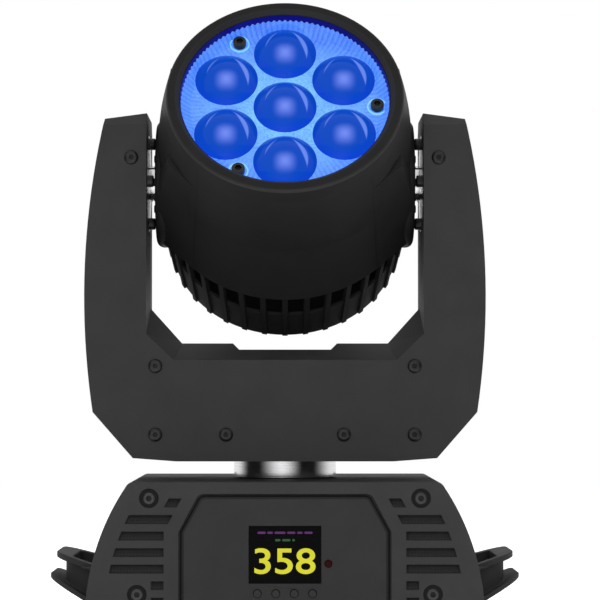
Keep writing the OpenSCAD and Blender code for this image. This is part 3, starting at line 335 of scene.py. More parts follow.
def makeSettledDust(s):
    # dust lies on what faces up
    group, enter, leave = startGroup("settledDust", {"Amount": 0.2}, ["Mask"])
    coords = addNode(group, "TexCoord").outputs
    upward = splitPoint(group, coords["Normal"])["Z"]
    lying = mapRange(group, upward, s["slope"], 1.0)
    cloud = noise(group, coords["Object"], s["cloudScale"], 6.0)
    dusty = maths(group, "MULTIPLY", lying, mapRange(group, cloud, s["clear"], s["thick"]))
    setInputs(group, leave, {"Mask": maths(group, "MULTIPLY", dusty, enter["Amount"])})
    return group


def makeTurnedLines():
    # fine lathe marks: noise squeezed along z
    group, enter, leave = startGroup("turnedLines", {"Scale": 60.0, "Along": 30.0}, ["Height", "Shade"])
    parts = splitPoint(group, objectPoint(group))
    squeezed = maths(group, "MULTIPLY", parts["Z"], enter["Along"])
    joined = addNode(group, "CombineXYZ", {"X": parts["X"], "Y": parts["Y"], "Z": squeezed}).outputs[0]
    lines = noise(group, joined, enter["Scale"], 4.0)
    shade = mapRange(group, lines, shadeRange["low"], shadeRange["high"])
    setInputs(group, leave, {"Height": lines, "Shade": shade})
    return group


def makeSoftArc():
    # painted glint: part of a circle on the lens map, widest half way between its two ends
    places = {"CentreX": 0.0, "CentreY": 0.0, "Radius": 1.0, "Width": 0.1, "Low": -1.0, "High": 1.0}
    group, enter, leave = startGroup("softArc", places, ["Mask"])
    local = addNode(group, "UVMap", uv_map="lensMap").outputs["UV"]
    centre = addNode(group, "CombineXYZ", {"X": enter["CentreX"], "Y": enter["CentreY"]}).outputs[0]
    reach = addNode(group, "VectorMath", {0: local, 1: centre}, operation="DISTANCE").outputs["Value"]
    away = maths(group, "ABSOLUTE", maths(group, "SUBTRACT", reach, enter["Radius"]))
    along = mapRange(group, splitPoint(group, local)["Y"], enter["Low"], enter["High"], 0.0, math.pi)
    width = maths(group, "MULTIPLY", maths(group, "SINE", along), enter["Width"])
    inside = maths(group, "DIVIDE", maths(group, "SUBTRACT", width, away), enter["Width"])
    setInputs(group, leave, {"Mask": mapRange(group, inside, 0.0, 0.5, smooth=True)})
    return group


mouldGrain = makeMouldGrain(grainSettings)
edgeWear = makeEdgeWear(wearSettings)
settledDust = makeSettledDust(dustSettings)
turnedLines = makeTurnedLines()
softArc = makeSoftArc()
print("shader groups made")


def clearTree(holder):
    holder.use_nodes = True
    holder.node_tree.nodes.clear()
    return holder.node_tree


def newMaterial(name):
    material = bpy.data.materials.new(name)
    tree = clearTree(material)
    shader = addNode(tree, "BsdfPrincipled")
    addNode(tree, "OutputMaterial", {"Surface": shader.outputs["BSDF"]})
    return material, tree, shader


def bumpOf(tree, height, strength, distance):
    inputs = {"Strength": strength, "Distance": distance, "Height": height}
    return addNode(tree, "Bump", inputs).outputs["Normal"]


def grey(level):
    return (level, level, level)


def shaded(colour, factor):
    return tuple(c * factor for c in colour)


def varied(tree, shade, middle, spread):
    # a value that wanders around its middle
    return mapRange(tree, shade, 0.0, 1.0, middle - spread, middle + spread)


plasticVaries = {"dark": 0.86, "pale": 1.14, "worn": 2.4, "rough": 0.06, "deep": 0.1 * mm,
                 "dustColour": (0.16, 0.155, 0.145)}


def mouldedPlastic(name, s):
    material, tree, shader = newMaterial(name)
    grain = placeGroup(tree, mouldGrain, Scale=s["grain"])
    wear = placeGroup(tree, edgeWear, Amount=s["wear"])
    dust = placeGroup(tree, settledDust, Amount=s["dust"])
    dark, pale, bare = [shaded(s["colour"], plasticVaries[key]) for key in ("dark", "pale", "worn")]
    base = mixColours(tree, grain["Shade"], dark, pale)
    worn = mixColours(tree, wear["Mask"], base, bare)
    setInputs(tree, shader, {
        "Base Color": mixColours(tree, dust["Mask"], worn, plasticVaries["dustColour"]),
        "Roughness": varied(tree, grain["Shade"], s["rough"], plasticVaries["rough"]),
        "Specular IOR Level": s["gloss"],
        "Normal": bumpOf(tree, grain["Height"], s["bump"], plasticVaries["deep"])})
    return material


metalVaries = {"dark": 0.88, "pale": 1.08, "rough": 0.05, "deep": 0.05 * mm}


def metalFinish(name, s):
    material, tree, shader = newMaterial(name)
    lines = placeGroup(tree, turnedLines, Scale=s["lines"], Along=s["along"])
    wear = placeGroup(tree, edgeWear, Amount=s["wear"])
    dark, pale = [shaded(s["colour"], metalVaries[key]) for key in ("dark", "pale")]
    base = mixColours(tree, lines["Shade"], dark, pale)
    setInputs(tree, shader, {
        "Base Color": mixColours(tree, wear["Mask"], base, s["bare"]),
        "Roughness": varied(tree, lines["Shade"], s["rough"], metalVaries["rough"]),
        "Metallic": s["metal"],
        "Normal": bumpOf(tree, lines["Height"], s["bump"], metalVaries["deep"])})
    return material


usualPlastic = {"rough": 0.62, "gloss": 0.12, "grain": 1500.0, "bump": 0.2, "wear": 0.2, "dust": 0.05}
plastics = {
    "yokePlastic": {"colour": grey(0.037), "bump": 0.25, "wear": 0.0, "dust": 0.08},
    "shellPlastic": {"colour": grey(0.023), "gloss": 0.08, "bump": 0.25, "dust": 0.0},
    "handlePlastic": {"colour": grey(0.035), "gloss": 0.08, "bump": 0.25, "dust": 0.0},
    "bezelPlastic": {"colour": grey(0.040), "rough": 0.6, "bump": 0.25, "wear": 0.35, "dust": 0.08},
    "panelPlastic": {"colour": grey(0.0295), "rough": 0.5, "grain": 2200.0, "bump": 0.12, "dust": 0.04},
    "barrelPlastic": {"colour": grey(0.0135), "rough": 0.55, "gloss": 0.10, "grain": 1700.0,
                      "wear": 0.25, "dust": 0.06},
    "rimPlastic": {"colour": grey(0.012), "rough": 0.5, "gloss": 0.11, "grain": 1900.0, "bump": 0.15,
                   "wear": 0.25},
    "rearPlastic": {"colour": grey(0.0175), "rough": 0.65, "gloss": 0.04, "grain": 1700.0, "wear": 0.0},
    "keyPlastic": {"colour": (0.012, 0.012, 0.013), "rough": 0.42, "gloss": 0.3, "grain": 2600.0,
                   "bump": 0.1, "dust": 0.0},
    "socketBlue": {"colour": (0.012, 0.045, 0.19), "rough": 0.4, "gloss": 0.4, "grain": 2200.0,
                   "bump": 0.12, "wear": 0.25, "dust": 0.03},
    "fuseBlack": {"colour": grey(0.008), "rough": 0.4, "gloss": 0.35, "grain": 2200.0, "bump": 0.12,
                  "wear": 0.25, "dust": 0.03},
    "footRubber": {"colour": grey(0.012), "rough": 0.8, "gloss": 0.15, "grain": 900.0, "bump": 0.4,
                   "wear": 0.1, "dust": 0.15},
    # painted shade for the panel grooves: soft and dark
    "grooveShadeSoft": {"colour": grey(0.020), "rough": 0.8, "gloss": 0.08, "grain": 1600.0, "wear": 0.0,
                "dust": 0.02},
    "grooveShadeDark": {"colour": grey(0.0065), "rough": 0.85, "gloss": 0.05, "grain": 1600.0, "wear": 0.0,
                   "dust": 0.02},
    "motorPaint": {"colour": grey(0.010), "rough": 0.45, "gloss": 0.4, "grain": 1200.0, "bump": 0.15,
                   "wear": 0.4},
}
usualMetal = {"bare": grey(0.7), "rough": 0.3, "metal": 1.0, "lines": 200.0, "along": 3.0, "bump": 0.15,
              "wear": 0.3}
metals = {
    "sheetSteel": {"colour": (0.34, 0.35, 0.36), "bare": grey(0.6), "rough": 0.42, "lines": 40.0,
                   "along": 12.0},
    "brightSteel": {"colour": (0.46, 0.46, 0.47), "lines": 90.0, "along": 8.0},
    "greySteel": {"colour": grey(0.041), "bare": grey(0.25), "rough": 0.5, "metal": 0.5},
    "collarChrome": {"colour": (0.72, 0.72, 0.73), "bare": grey(0.8), "rough": 0.12, "lines": 30.0,
                     "along": 60.0, "bump": 0.05, "wear": 0.2},
    "castAlloy": {"colour": (0.52, 0.52, 0.53), "rough": 0.4, "lines": 60.0, "along": 6.0, "bump": 0.2},
    "blackOxide": {"colour": (0.022, 0.022, 0.023), "bare": grey(0.16), "rough": 0.38, "metal": 0.6,
                   "wear": 0.35},
    # near-black painted shade for the screws' key recesses
    "keyShade": {"colour": grey(0.006), "bare": grey(0.05), "rough": 0.6, "metal": 0.3, "wear": 0.2},
    "socketMetal": {"colour": (0.12, 0.12, 0.125), "bare": grey(0.4), "rough": 0.36, "metal": 0.9,
                    "lines": 120.0, "wear": 0.35},
    "turnedBrass": {"colour": (0.52, 0.36, 0.12), "bare": (0.7, 0.55, 0.25), "lines": 90.0, "along": 10.0,
                    "wear": 0.2},
}
finishes = {name: mouldedPlastic(name, {**usualPlastic, **own}) for name, own in plastics.items()}
finishes.update({name: metalFinish(name, {**usualMetal, **own}) for name, own in metals.items()})


# Marks on the head's plastics that follow its own shape: mould seams, and painted highlights on the ring's
# mouth and lip

def headPoint(tree):
    # the shaded point from the middle of the tilt axis, and how far along the beam it lies
    middle = headSpace.translation
    offset = addNode(tree, "VectorMath", {0: objectPoint(tree), 1: middle}, operation="SUBTRACT").outputs[0]
    along = addNode(tree, "VectorMath", {0: offset, 1: beam}, operation="DOT_PRODUCT").outputs["Value"]
    return offset, along


def tintBase(material, mask, colour):
    # mask and colour laid over what already feeds the base colour
    tree = material.node_tree
    shader = next(n for n in tree.nodes if n.bl_idname == "ShaderNodeBsdfPrincipled")
    under = shader.inputs["Base Color"].links[0].from_socket
    setInputs(tree, shader, {"Base Color": mixColours(tree, mask, under, colour)})


seamSettings = {"front": 55.0 * mm, "rear": 61.0 * mm, "frontAt": 80.0 * mm, "rearAt": -30.0 * mm,
                "half": 0.28 * mm, "strength": 0.45, "colour": grey(0.004)}


def addSeams(material, s):
    # two mould seams along the barrel, left and right of its middle
    tree = material.node_tree
    offset, along = headPoint(tree)
    fromMiddle = maths(tree, "ABSOLUTE", splitPoint(tree, offset)["X"])
    place = mapRange(tree, along, s["frontAt"], s["rearAt"], s["front"], s["rear"])
    away = maths(tree, "ABSOLUTE", maths(tree, "SUBTRACT", fromMiddle, place))
    tintBase(material, mapRange(tree, away, s["half"], s["half"] * 2, s["strength"], 0.0), s["colour"])


ringHigh = nodeBox("front_ring", headSpace)[1]
plateLow, plateHigh = nodeBox("lens_plate", headSpace)
mouthSettings = {"gap": 0.7 * mm, "bevel": 2.6 * mm, "lip": 3.4 * mm, "lipSoft": 2.0 * mm, "deep": 2.6 * mm,
                 "soft": 0.5 * mm, "bevelHighlight": grey(0.022), "lipHighlight": grey(0.042)}


def paintMouthHighlights(material, s):
    # painted highlights: the ring's rounded mouth and outer lip are paler than the flat between them,
    # standing for the light they catch
    tree = material.node_tree
    offset, along = headPoint(tree)
    crossed = addNode(tree, "VectorMath", {0: offset, 1: beam}, operation="CROSS_PRODUCT").outputs[0]
    radius = lengthOf(tree, crossed)
    bevelEnd = plateHigh.x + s["gap"] + s["bevel"]
    lipStart, lipFoot = ringHigh.x - s["lip"], ringHigh.z - s["deep"]
    # painted highlight on the mouth's inner bevel, then on the outer lip
    tintBase(material, mapRange(tree, radius, bevelEnd, bevelEnd + s["soft"], 1.0, 0.0), s["bevelHighlight"])
    outer = mapRange(tree, radius, lipStart, lipStart + s["lipSoft"])
    near = mapRange(tree, along, lipFoot, lipFoot + s["soft"])
    tintBase(material, maths(tree, "MULTIPLY", outer, near), s["lipHighlight"])


addSeams(finishes["barrelPlastic"], seamSettings)
paintMouthHighlights(finishes["rimPlastic"], mouthSettings)

boardSettings = {"mask": (0.010, 0.075, 0.030), "track": (0.030, 0.16, 0.060), "cell": 160.0, "rough": 0.38,
                 "trackHalf": 0.04, "trackEdge": 0.07, "bump": 0.3, "deep": 0.05 * mm}


def circuitBoard(name, s):
    material, tree, shader = newMaterial(name)
    cell = {"Vector": objectPoint(tree), "Scale": s["cell"]}
    edges = addNode(tree, "TexVoronoi", cell, feature="DISTANCE_TO_EDGE").outputs["Distance"]
    track = mapRange(tree, edges, s["trackHalf"], s["trackEdge"], 1.0, 0.0)
    setInputs(tree, shader, {
        "Base Color": mixColours(tree, track, s["mask"], s["track"]),
        "Roughness": s["rough"],
        "Normal": bumpOf(tree, track, s["bump"], s["deep"])})
    return material


finishes["circuitGreen"] = circuitBoard("circuitGreen", boardSettings)

screenSettings = {"wire": (0.039, 0.039, 0.040), "hole": grey(0.007), "shade": grey(0.002),
                  "pitch": 0.9 * mm, "rough": 0.6, "gloss": 0.2, "bump": 0.5, "deep": 0.2 * mm,
                  "slotFoot": 71.7 * mm, "slotPitch": 10.3 * mm, "slotTall": 5.3 * mm, "topLight": 0.08,
                  "wireEdge": 0.2, "wireFull": 0.6}


def wovenScreen(name, s):
    # wires across x and z, the crossings standing proud, with painted shade darker towards the top of each
    # slot
    material, tree, shader = newMaterial(name)
    parts = splitPoint(tree, objectPoint(tree))
    turns = 2 * math.pi / s["pitch"]
    waves = [maths(tree, "SINE", maths(tree, "MULTIPLY", parts[axis], turns)) for axis in ("X", "Z")]
    weave = maths(tree, "MAXIMUM", *waves)
    woven = mixColours(tree, mapRange(tree, weave, s["wireEdge"], s["wireFull"]), s["hole"], s["wire"])
    # painted shade: towards each slot's top the wires fade to the shade colour
    slots = maths(tree, "DIVIDE", maths(tree, "SUBTRACT", parts["Z"], s["slotFoot"]), s["slotPitch"])
    climb = maths(tree, "MULTIPLY", maths(tree, "FRACT", slots), s["slotPitch"])
    lit = mapRange(tree, climb, s["slotTall"], 0.0, s["topLight"], 1.0)
    setInputs(tree, shader, {
        "Base Color": mixColours(tree, lit, s["shade"], woven),
        "Roughness": s["rough"],
        "Specular IOR Level": s["gloss"],
        "Normal": bumpOf(tree, weave, s["bump"], s["deep"])})
    return material


finishes["screenMesh"] = wovenScreen("screenMesh", screenSettings)

displaySettings = {"glass": (0.0014, 0.0014, 0.0017), "smear": 1.5, "grain": 400.0, "rough": 0.2,
                   "roughVaries": 0.05, "gloss": 0.03}


def displayGlass(name, s):
    material, tree, shader = newMaterial(name)
    smear = placeGroup(tree, mouldGrain, Scale=s["grain"])["Shade"]
    setInputs(tree, shader, {
        "Base Color": mixColours(tree, smear, s["glass"], shaded(s["glass"], s["smear"])),
        "Roughness": varied(tree, smear, s["rough"], s["roughVaries"]),
        "Specular IOR Level": s["gloss"]})
    return material


finishes["displayGlass"] = displayGlass("displayGlass", displaySettings)

usualGlow = {"grain": 4000.0, "strength": 1.0, "rough": 0.4, "gloss": 0.06, "unlit": 0.2}
glows = {
    "lampRed": {"low": (0.020, 0.001, 0.0015), "high": (0.036, 0.002, 0.003), "grain": 1500.0,
                "strength": 0.6, "rough": 0.25},
    "ledBlue": {"low": (0.10, 0.25, 1.0), "high": (0.25, 0.5, 1.0), "grain": 2500.0},
    "digitYellow": {"low": (0.54, 0.52, 0.025), "high": (0.64, 0.62, 0.04)},
    "barPurple": {"low": (0.075, 0.020, 0.095), "high": (0.105, 0.032, 0.13)},
    "barGreen": {"low": (0.020, 0.070, 0.026), "high": (0.030, 0.095, 0.038)},
    "cupGlow": {"low": (0.10, 0.42, 1.0), "high": (0.35, 0.80, 1.0), "grain": 700.0, "strength": 0.9,
                "rough": 0.2},
    # painted light: the lenses' blue light on the front ring's inner wall
    "wallGlowBlue": {"low": (0.002, 0.002, 0.07), "high": (0.006, 0.005, 0.24), "grain": 600.0},
}


def glowing(name, s):
    # lit surface with a fine mottle between two colours
    material, tree, shader = newMaterial(name)
    mottle = placeGroup(tree, mouldGrain, Scale=s["grain"])["Shade"]
    setInputs(tree, shader, {
        "Emission Color": mixColours(tree, mottle, s["low"], s["high"]),
        "Emission Strength": s["strength"],
        "Base Color": shaded(s["low"], s["unlit"]),
        "Roughness": s["rough"],
        "Specular IOR Level": s["gloss"]})
    return material


finishes.update({name: glowing(name, {**usualGlow, **own}) for name, own in glows.items()})
print("plain finishes made:", len(finishes))

# Which finish each CAD node wears
finishOf = {
    "yokePlastic": ["yoke_front_cover", "yoke_rear_cover"],
    "shellPlastic": ["base_shell"],
    "handlePlastic": ["left_handle", "right_handle"],
    "bezelPlastic": ["front_bezel", "rear_bezel"],
    "panelPlastic": ["control_panel", "connector_plate"],
    "barrelPlastic": ["head_shell"],
    "rimPlastic": ["front_ring"],
    "rearPlastic": ["rear_housing", "fan_frame", "fan_rotor"],
    "displayGlass": ["display_window"],
    "lampRed": ["status_lamp"],
    "keyPlastic": ["menu_button", "down_button", "up_button", "enter_button"],
    "circuitGreen": ["display_board", "main_board", "led_board"],
    "socketBlue": ["power_sockets"],
    "socketMetal": ["data_sockets"],
    "fuseBlack": ["fuse_holder"],
    "screenMesh": ["vent_screens"],
    "footRubber": ["rubber_feet", "pan_belt", "tilt_belt"],
    "sheetSteel": ["base_tray", "base_chassis", "yoke_frame", "head_frame"],
    "greySteel": ["bezel_screws"],
    "brightSteel": ["pan_bearing", "bearing_flanges", "zoom_screw", "guide_posts"],
    "collarChrome": ["pan_shaft", "left_tilt_shaft", "right_tilt_shaft"],
    "blackOxide": ["cover_screws", "flange_screws", "hub_screws", "lens_screws"],
    "motorPaint": ["pan_motor", "tilt_motor", "zoom_motor"],
    "castAlloy": ["power_supply", "pan_motor_pulley", "pan_pulley", "tilt_motor_pulley", "tilt_pulley",
                  "heat_sink"],
    "turnedBrass": ["zoom_bushes", "zoom_nut"],
    "ledBlue": ["led_emitters"],
}
for finish, names in finishOf.items():
    for name in names:
        nodes[name].data.materials.clear()
        nodes[name].data.materials.append(finishes[finish])

# Softened moulding edges on the parts that show, widths in mm
softEdges = {
    "front_bezel": 0.6, "rear_bezel": 0.6, "base_shell": 0.5, "left_handle": 0.9, "right_handle": 0.9,
    "control_panel": 0.3, "connector_plate": 0.3, "pan_shaft": 0.5, "bearing_flanges": 0.4,
    "power_sockets": 0.5, "data_sockets": 0.5, "fuse_holder": 0.4, "rubber_feet": 0.4, "fan_frame": 0.4,
    "heat_sink": 0.2, "base_tray": 0.3,
}
softening = {"flatDegrees": 0.2, "edgeDegrees": 32, "segments": 2, "normalWeight": 80}


def softenEdges(name, width, s):
    obj = nodes[name]
    weld = obj.modifiers.new("weld", "WELD")
    weld.merge_threshold = samePlace
    flat = obj.modifiers.new("flatFaces", "DECIMATE")
    flat.decimate_type = "DISSOLVE"
    flat.angle_limit = math.radians(s["flatDegrees"])
    bevel = obj.modifiers.new("soften", "BEVEL")
    bevel.width = width * mm
    bevel.segments = s["segments"]
    bevel.limit_method = "ANGLE"
    bevel.angle_limit = math.radians(s["edgeDegrees"])
    bevel.use_clamp_overlap = False
    shade = obj.modifiers.new("shade", "WEIGHTED_NORMAL")
    shade.weight = s["normalWeight"]
    shade.keep_sharp = False


for name, width in softEdges.items():
    softenEdges(name, width, softening)
print("frame dressed")

# Screws with a recess for a key, its faces painted near-black as shade; a height of None takes the whole
# head
usualScrew = {"finish": "blackOxide", "slot": "black_screw", "key": 0.5, "deep": 0.6, "height": None,
              "away": 1}
screwHeads = {
    "bezel_screws": {**usualScrew, "body": "base", "axis": 1, "finish": "greySteel", "slot": "bright_steel",
                     "dome": 0.5, "deep": 0.9, "height": 1.6 * mm},
    "cover_screws": {**usualScrew, "body": "yoke", "axis": 1, "dome": 0.75, "key": 0.4, "height": 2.2 * mm},
    "flange_screws": {**usualScrew, "body": "yoke", "axis": 0, "dome": 0.25, "away": -1},
    "hub_screws": {**usualScrew, "body": "head", "axis": 0, "dome": 0.3},
}
screwShape = {"around": 72, "domeSteps": 4, "corners": 6, "land": 0.2}


def addScrew(bm, place, radius, height, s):
    # place has its z pointing out of the head, with the seat at 0
    around, steps = screwShape["around"], screwShape["domeSteps"]
    side = height * (1 - s["dome"])
    foot = height * (1 - s["deep"])
    land = radius * (s["key"] + screwShape["land"])
    skirt = ringPoints(around, radius, 0, s.get("ripple", 0.0), s.get("teeth", 0))
    key = ringPoints(around, radius * s["key"], screwShape["corners"])
    rings = [(None, 0.0), (skirt, 0.0), (skirt, side)]
    for i in range(1, steps + 1):
        lean = math.pi / 2 * i / steps
        reach = radius - (radius - land) * (1 - math.cos(lean))
        rings.append((ringPoints(around, reach), side + (height - side) * math.sin(lean)))
    rings += [(key, height), (key, foot), (None, foot)]
    before = len(bm.faces)
    addRings(bm, rings, place)
    bm.faces.ensure_lookup_table()
    # painted shade: the key recess faces take the second, near-black finish
    recess = before + around * (len(rings) - 3)
    for face in bm.faces[recess:]:
        face.material_index = 1


def seatOf(low, high, height, s):
    # the place under a head of this height, with its z pointing out
    axis = s["axis"]
    seat = (low + high) / 2
    outward = Vector((0, 0, 0))
    outward[axis] = s["away"] * (1 if seat[axis] > 0 else -1)
    tip = high[axis] if outward[axis] > 0 else low[axis]
    seat[axis] = tip - outward[axis] * height
    return facing(seat, outward)


def makeScrews(name, s):
    bm = bmesh.new()
    for low, high in solidsOf(name):
        height = s["height"] or high[s["axis"]] - low[s["axis"]]
        addScrew(bm, seatOf(low, high, height, s), (high.z - low.z) / 2, height, s)
    makePiece(name.replace("_s", "S"), bm, [s["finish"], "keyShade"], s["body"], [name])


for name, head in screwHeads.items():
    makeScrews(name, head)

# Painted shade: a dark ring on the floor of each recess of the bezels, round the screw head, in the rubber
# finish
recessShadeSettings = {"outer": 5.85 * mm, "inner": 3.3 * mm, "thick": 0.5 * mm, "around": 48}


def makeRecessShade(s, head):
    bm = bmesh.new()
    half = s["thick"] / 2
    profile = [(s["inner"], 0), (s["outer"], 0), (s["outer"], half), (s["outer"] - half, s["thick"]),
               (s["inner"] + half, s["thick"]), (s["inner"], half), (s["inner"], 0)]
    for low, high in solidsOf("bezel_screws"):
        addLathe(bm, profile, seatOf(low, high, head["height"], head), s["around"])
    weldPoints(bm)
    makePiece("recessShadeRings", bm, ["footRubber"], "base")


makeRecessShade(recessShadeSettings, screwHeads["bezel_screws"])
print("screws made")

# Lens plate: a lit dish with a fluted skirt, scooped round the lenses and the screws' cups
lensBoxes = solidsOf("lenses", headSpace)
capBoxes = solidsOf("lens_screws", headSpace)
cupSettings = {"radius": 6.4 * mm, "width": 0.8 * mm, "height": 1.3 * mm, "shoulder": 0.91 * mm,
               "bevel": 0.2 * mm, "sunk": 0.3 * mm}
plateSettings = {"flutes": 116, "stepsPerFlute": 6, "thick": 3.0 * mm, "skirtStart": 60.0 * mm,
                 "skirtRings": 10, "innerRings": [8, 20, 30, 38, 43, 46, 49, 52, 55, 57.5],  # in mm
                 "fluteStart": 46.0 * mm, "fluteDepth": 0.5 * mm, "scallop": 0.5 * mm,
                 "scallopRise": 0.55 * mm, "scoopGap": 0.35 * mm, "scoopSoft": 1.0 * mm,
                 "keepEdge": 3.0 * mm, "keepSlope": 2, "sharp": 60, "pebbles": 900.0, "cloud": 70.0,
                 "dotDark": 0.45, "streakDark": 0.35, "fluteHollowShade": 0.3, "fluteCrestLight": -0.12, "topShade": 0.3,
                 "centre": (0.20, 0.58, 1.0), "outer": (0.085, 0.26, 0.98), "shadow": (0.03, 0.13, 0.75),
                 "unlit": (0.02, 0.05, 0.14), "rough": 0.35, "bump": 0.5, "deep": 0.2 * mm}
plateFace = plateLow.z + plateSettings["thick"]


def onPlate(low, high):
    # the place on the plate's face under the middle of a box
    return headSpace @ Matrix.Translation(((low.x + high.x) / 2, (low.y + high.y) / 2, plateFace))


def plateFinish(name, s):
    material, tree, shader = newMaterial(name)
    local = addNode(tree, "UVMap", uv_map="plateMap").outputs["UV"]
    parts = splitPoint(tree, local)
    radius = lengthOf(tree, local)
    base = mixColours(tree, mapRange(tree, radius, 0.35, 1.0), s["centre"], s["outer"])
    point = objectPoint(tree)
    grain = pebbles(tree, point, s["pebbles"])
    dots = mapRange(tree, grain, 0.15, 0.75, 0.0, s["dotDark"])
    streak = mapRange(tree, noise(tree, point, s["cloud"], 5.0), 0.4, 0.7, 0.0, s["streakDark"])
    # painted shade and light on the flutes near the rim: hollows darker, crests paler
    angle = maths(tree, "ARCTAN2", parts["Y"], parts["X"])
    wave = maths(tree, "COSINE", maths(tree, "MULTIPLY", angle, float(s["flutes"])))
    hollow = mapRange(tree, wave, -1.0, 0.3, s["fluteHollowShade"], s["fluteCrestLight"])
    flute = maths(tree, "MULTIPLY", hollow, mapRange(tree, radius, 0.68, 0.9))
    # painted shade: darker across the top of the plate
    high = mapRange(tree, parts["Y"], 0.5, 1.0, 0.0, s["topShade"])
    # the dots and streaks are the plate's own mottle; the flute and top terms are painted shade
    shadow = maths(tree, "ADD", maths(tree, "ADD", dots, streak), maths(tree, "ADD", flute, high))
    setInputs(tree, shader, {
        "Emission Color": mixColours(tree, shadow, base, s["shadow"]),
        "Emission Strength": 1.0,
        "Base Color": s["unlit"],
        "Roughness": s["rough"],
        "Normal": bumpOf(tree, grain, s["bump"], s["deep"])})
    return material


def makeLensPlate(s, cup):
    radius = plateHigh.x
    rise = plateHigh.z - plateFace
    count = s["flutes"] * s["stepsPerFlute"]
    start = s["skirtStart"]
    inner = [r * mm for r in s["innerRings"]]
    skirt = [start + (radius - start) * i / s["skirtRings"] for i in range(s["skirtRings"] + 1)]
    wells = [((low + high) / 2, (high.x - low.x) / 2 + s["scoopGap"], False) for low, high in lensBoxes]
    wells += [((low + high) / 2, cup["radius"] + s["scoopGap"], True) for low, high in capBoxes]
    bm = bmesh.new()
    layer = bm.loops.layers.uv.new("plateMap")

    def openness(x, y):
        # 0 inside a well, 1 clear of all of them; a screw's well leaves the skirt's edge standing
        edge = s["keepSlope"] * max(0, math.hypot(x, y) - radius + s["keepEdge"])
        near = min(math.hypot(x - c.x, y - c.y) - r + (edge if keep else 0) for c, r, keep in wells)
        return smoothStep(near / s["scoopSoft"])

    def ring(r, top):
        made = []
        grown = max(0, (r - s["fluteStart"]) / (radius - s["fluteStart"]))
        climb = max(0, (r - start) / (radius - start))
        for i in range(count):
            angle = 2 * math.pi * i / count
            wave = 0.5 - 0.5 * math.cos(s["flutes"] * angle)
            reach = r - s["scallop"] * climb ** 3 * wave
            x, y = reach * math.cos(angle), reach * math.sin(angle)
            z = plateLow.z
            if top:
                lift = rise * climb - s["fluteDepth"] * grown * wave - s["scallopRise"] * climb ** 4 * wave
                z = plateFace + lift * openness(x, y)
            made.append(bm.verts.new(headSpace @ Vector((x, y, z))))
        return made

    loops = [ring(r, True) for r in inner + skirt]
    loops.append(ring(radius, False))
    for a, b in zip(loops, loops[1:]):
        bridge(bm, a, b)
    for loop, level in ((loops[0], plateFace), (loops[-1], plateLow.z)):
        closeTo(bm, bm.verts.new(headSpace @ Vector((0, 0, level))), loop)
    mapFlat(bm.faces, layer, headSpace, radius)
    makePiece("lensPlate", bm, ["plateGlow"], "zoom_carriage", ["lens_plate"], s["sharp"])


finishes["plateGlow"] = plateFinish("plateGlow", plateSettings)
makeLensPlate(plateSettings, cupSettings)

# Lenses: domes with the lit chip's image painted on as a highlight, with painted glints and a paler lower
# rim
lensSettings = {"deep": (0.002, 0.062, 0.50), "rim": (0.001, 0.046, 0.47), "low": (0.002, 0.050, 0.63),
                "unlit": (0.002, 0.008, 0.05), "rough": 0.12, "gloss": 0.06, "glint": (0.16, 0.28, 0.86),
                "chip": (0.17, 0.26, 0.87), "chipStart": 0.45, "chipFull": -0.03, "chipDrop": 0.265,
                "chipPower": 2.5, "lip": 0.5 * mm, "wall": 0.3 * mm, "inset": 0.25 * mm, "sunk": 0.2 * mm,
                "domeSteps": 22, "around": 72, "sharp": 60, "rimStart": 0.72, "rimEnd": 0.98}
# painted glints on the lenses, the right one stronger
lensArcs = {"right": {"CentreX": -0.80, "CentreY": -0.35, "Radius": 1.49, "Width": 0.105,
                      "Low": -0.42, "High": 0.82},
            "left": {"CentreX": 0.80, "CentreY": -0.35, "Radius": 1.49, "Width": 0.045,
                     "Low": 0.0, "High": 0.78}}
arcStrength = {"right": 0.85, "left": 0.5}


def lensFinish(name, s):
    material, tree, shader = newMaterial(name)
    local = addNode(tree, "UVMap", uv_map="lensMap").outputs["UV"]
    parts = splitPoint(tree, local)
    # painted highlight: a soft square for the chip's image, standing in also for a softbox reflection,
    # dropped below the lens's middle
    lowered = maths(tree, "ADD", parts["Y"], s["chipDrop"])
    sides = [maths(tree, "ABSOLUTE", side) for side in (parts["X"], lowered)]
    raised = [maths(tree, "POWER", side, s["chipPower"]) for side in sides]
    square = maths(tree, "POWER", maths(tree, "ADD", *raised), 1 / s["chipPower"])
    chip = mapRange(tree, square, s["chipStart"], s["chipFull"], smooth=True)
    # painted light: the rim is paler towards the bottom of the lens
    edge = mixColours(tree, mapRange(tree, parts["Y"], 0.2, -0.9), s["rim"], s["low"])
    nearRim = mapRange(tree, lengthOf(tree, local), s["rimStart"], s["rimEnd"])
    body = mixColours(tree, nearRim, s["deep"], edge)
    lit = mixColours(tree, chip, body, s["chip"])
    # painted glints: arcs of light at the upper right and upper left
    for label, arc in lensArcs.items():
        mask = maths(tree, "MULTIPLY", placeGroup(tree, softArc, **arc)["Mask"], arcStrength[label])
        lit = mixColours(tree, mask, lit, s["glint"])
    setInputs(tree, shader, {
        "Emission Color": lit,
        "Emission Strength": 1.0,
        "Base Color": s["unlit"],
        "Roughness": s["rough"],
        "Specular IOR Level": s["gloss"]})
    return material


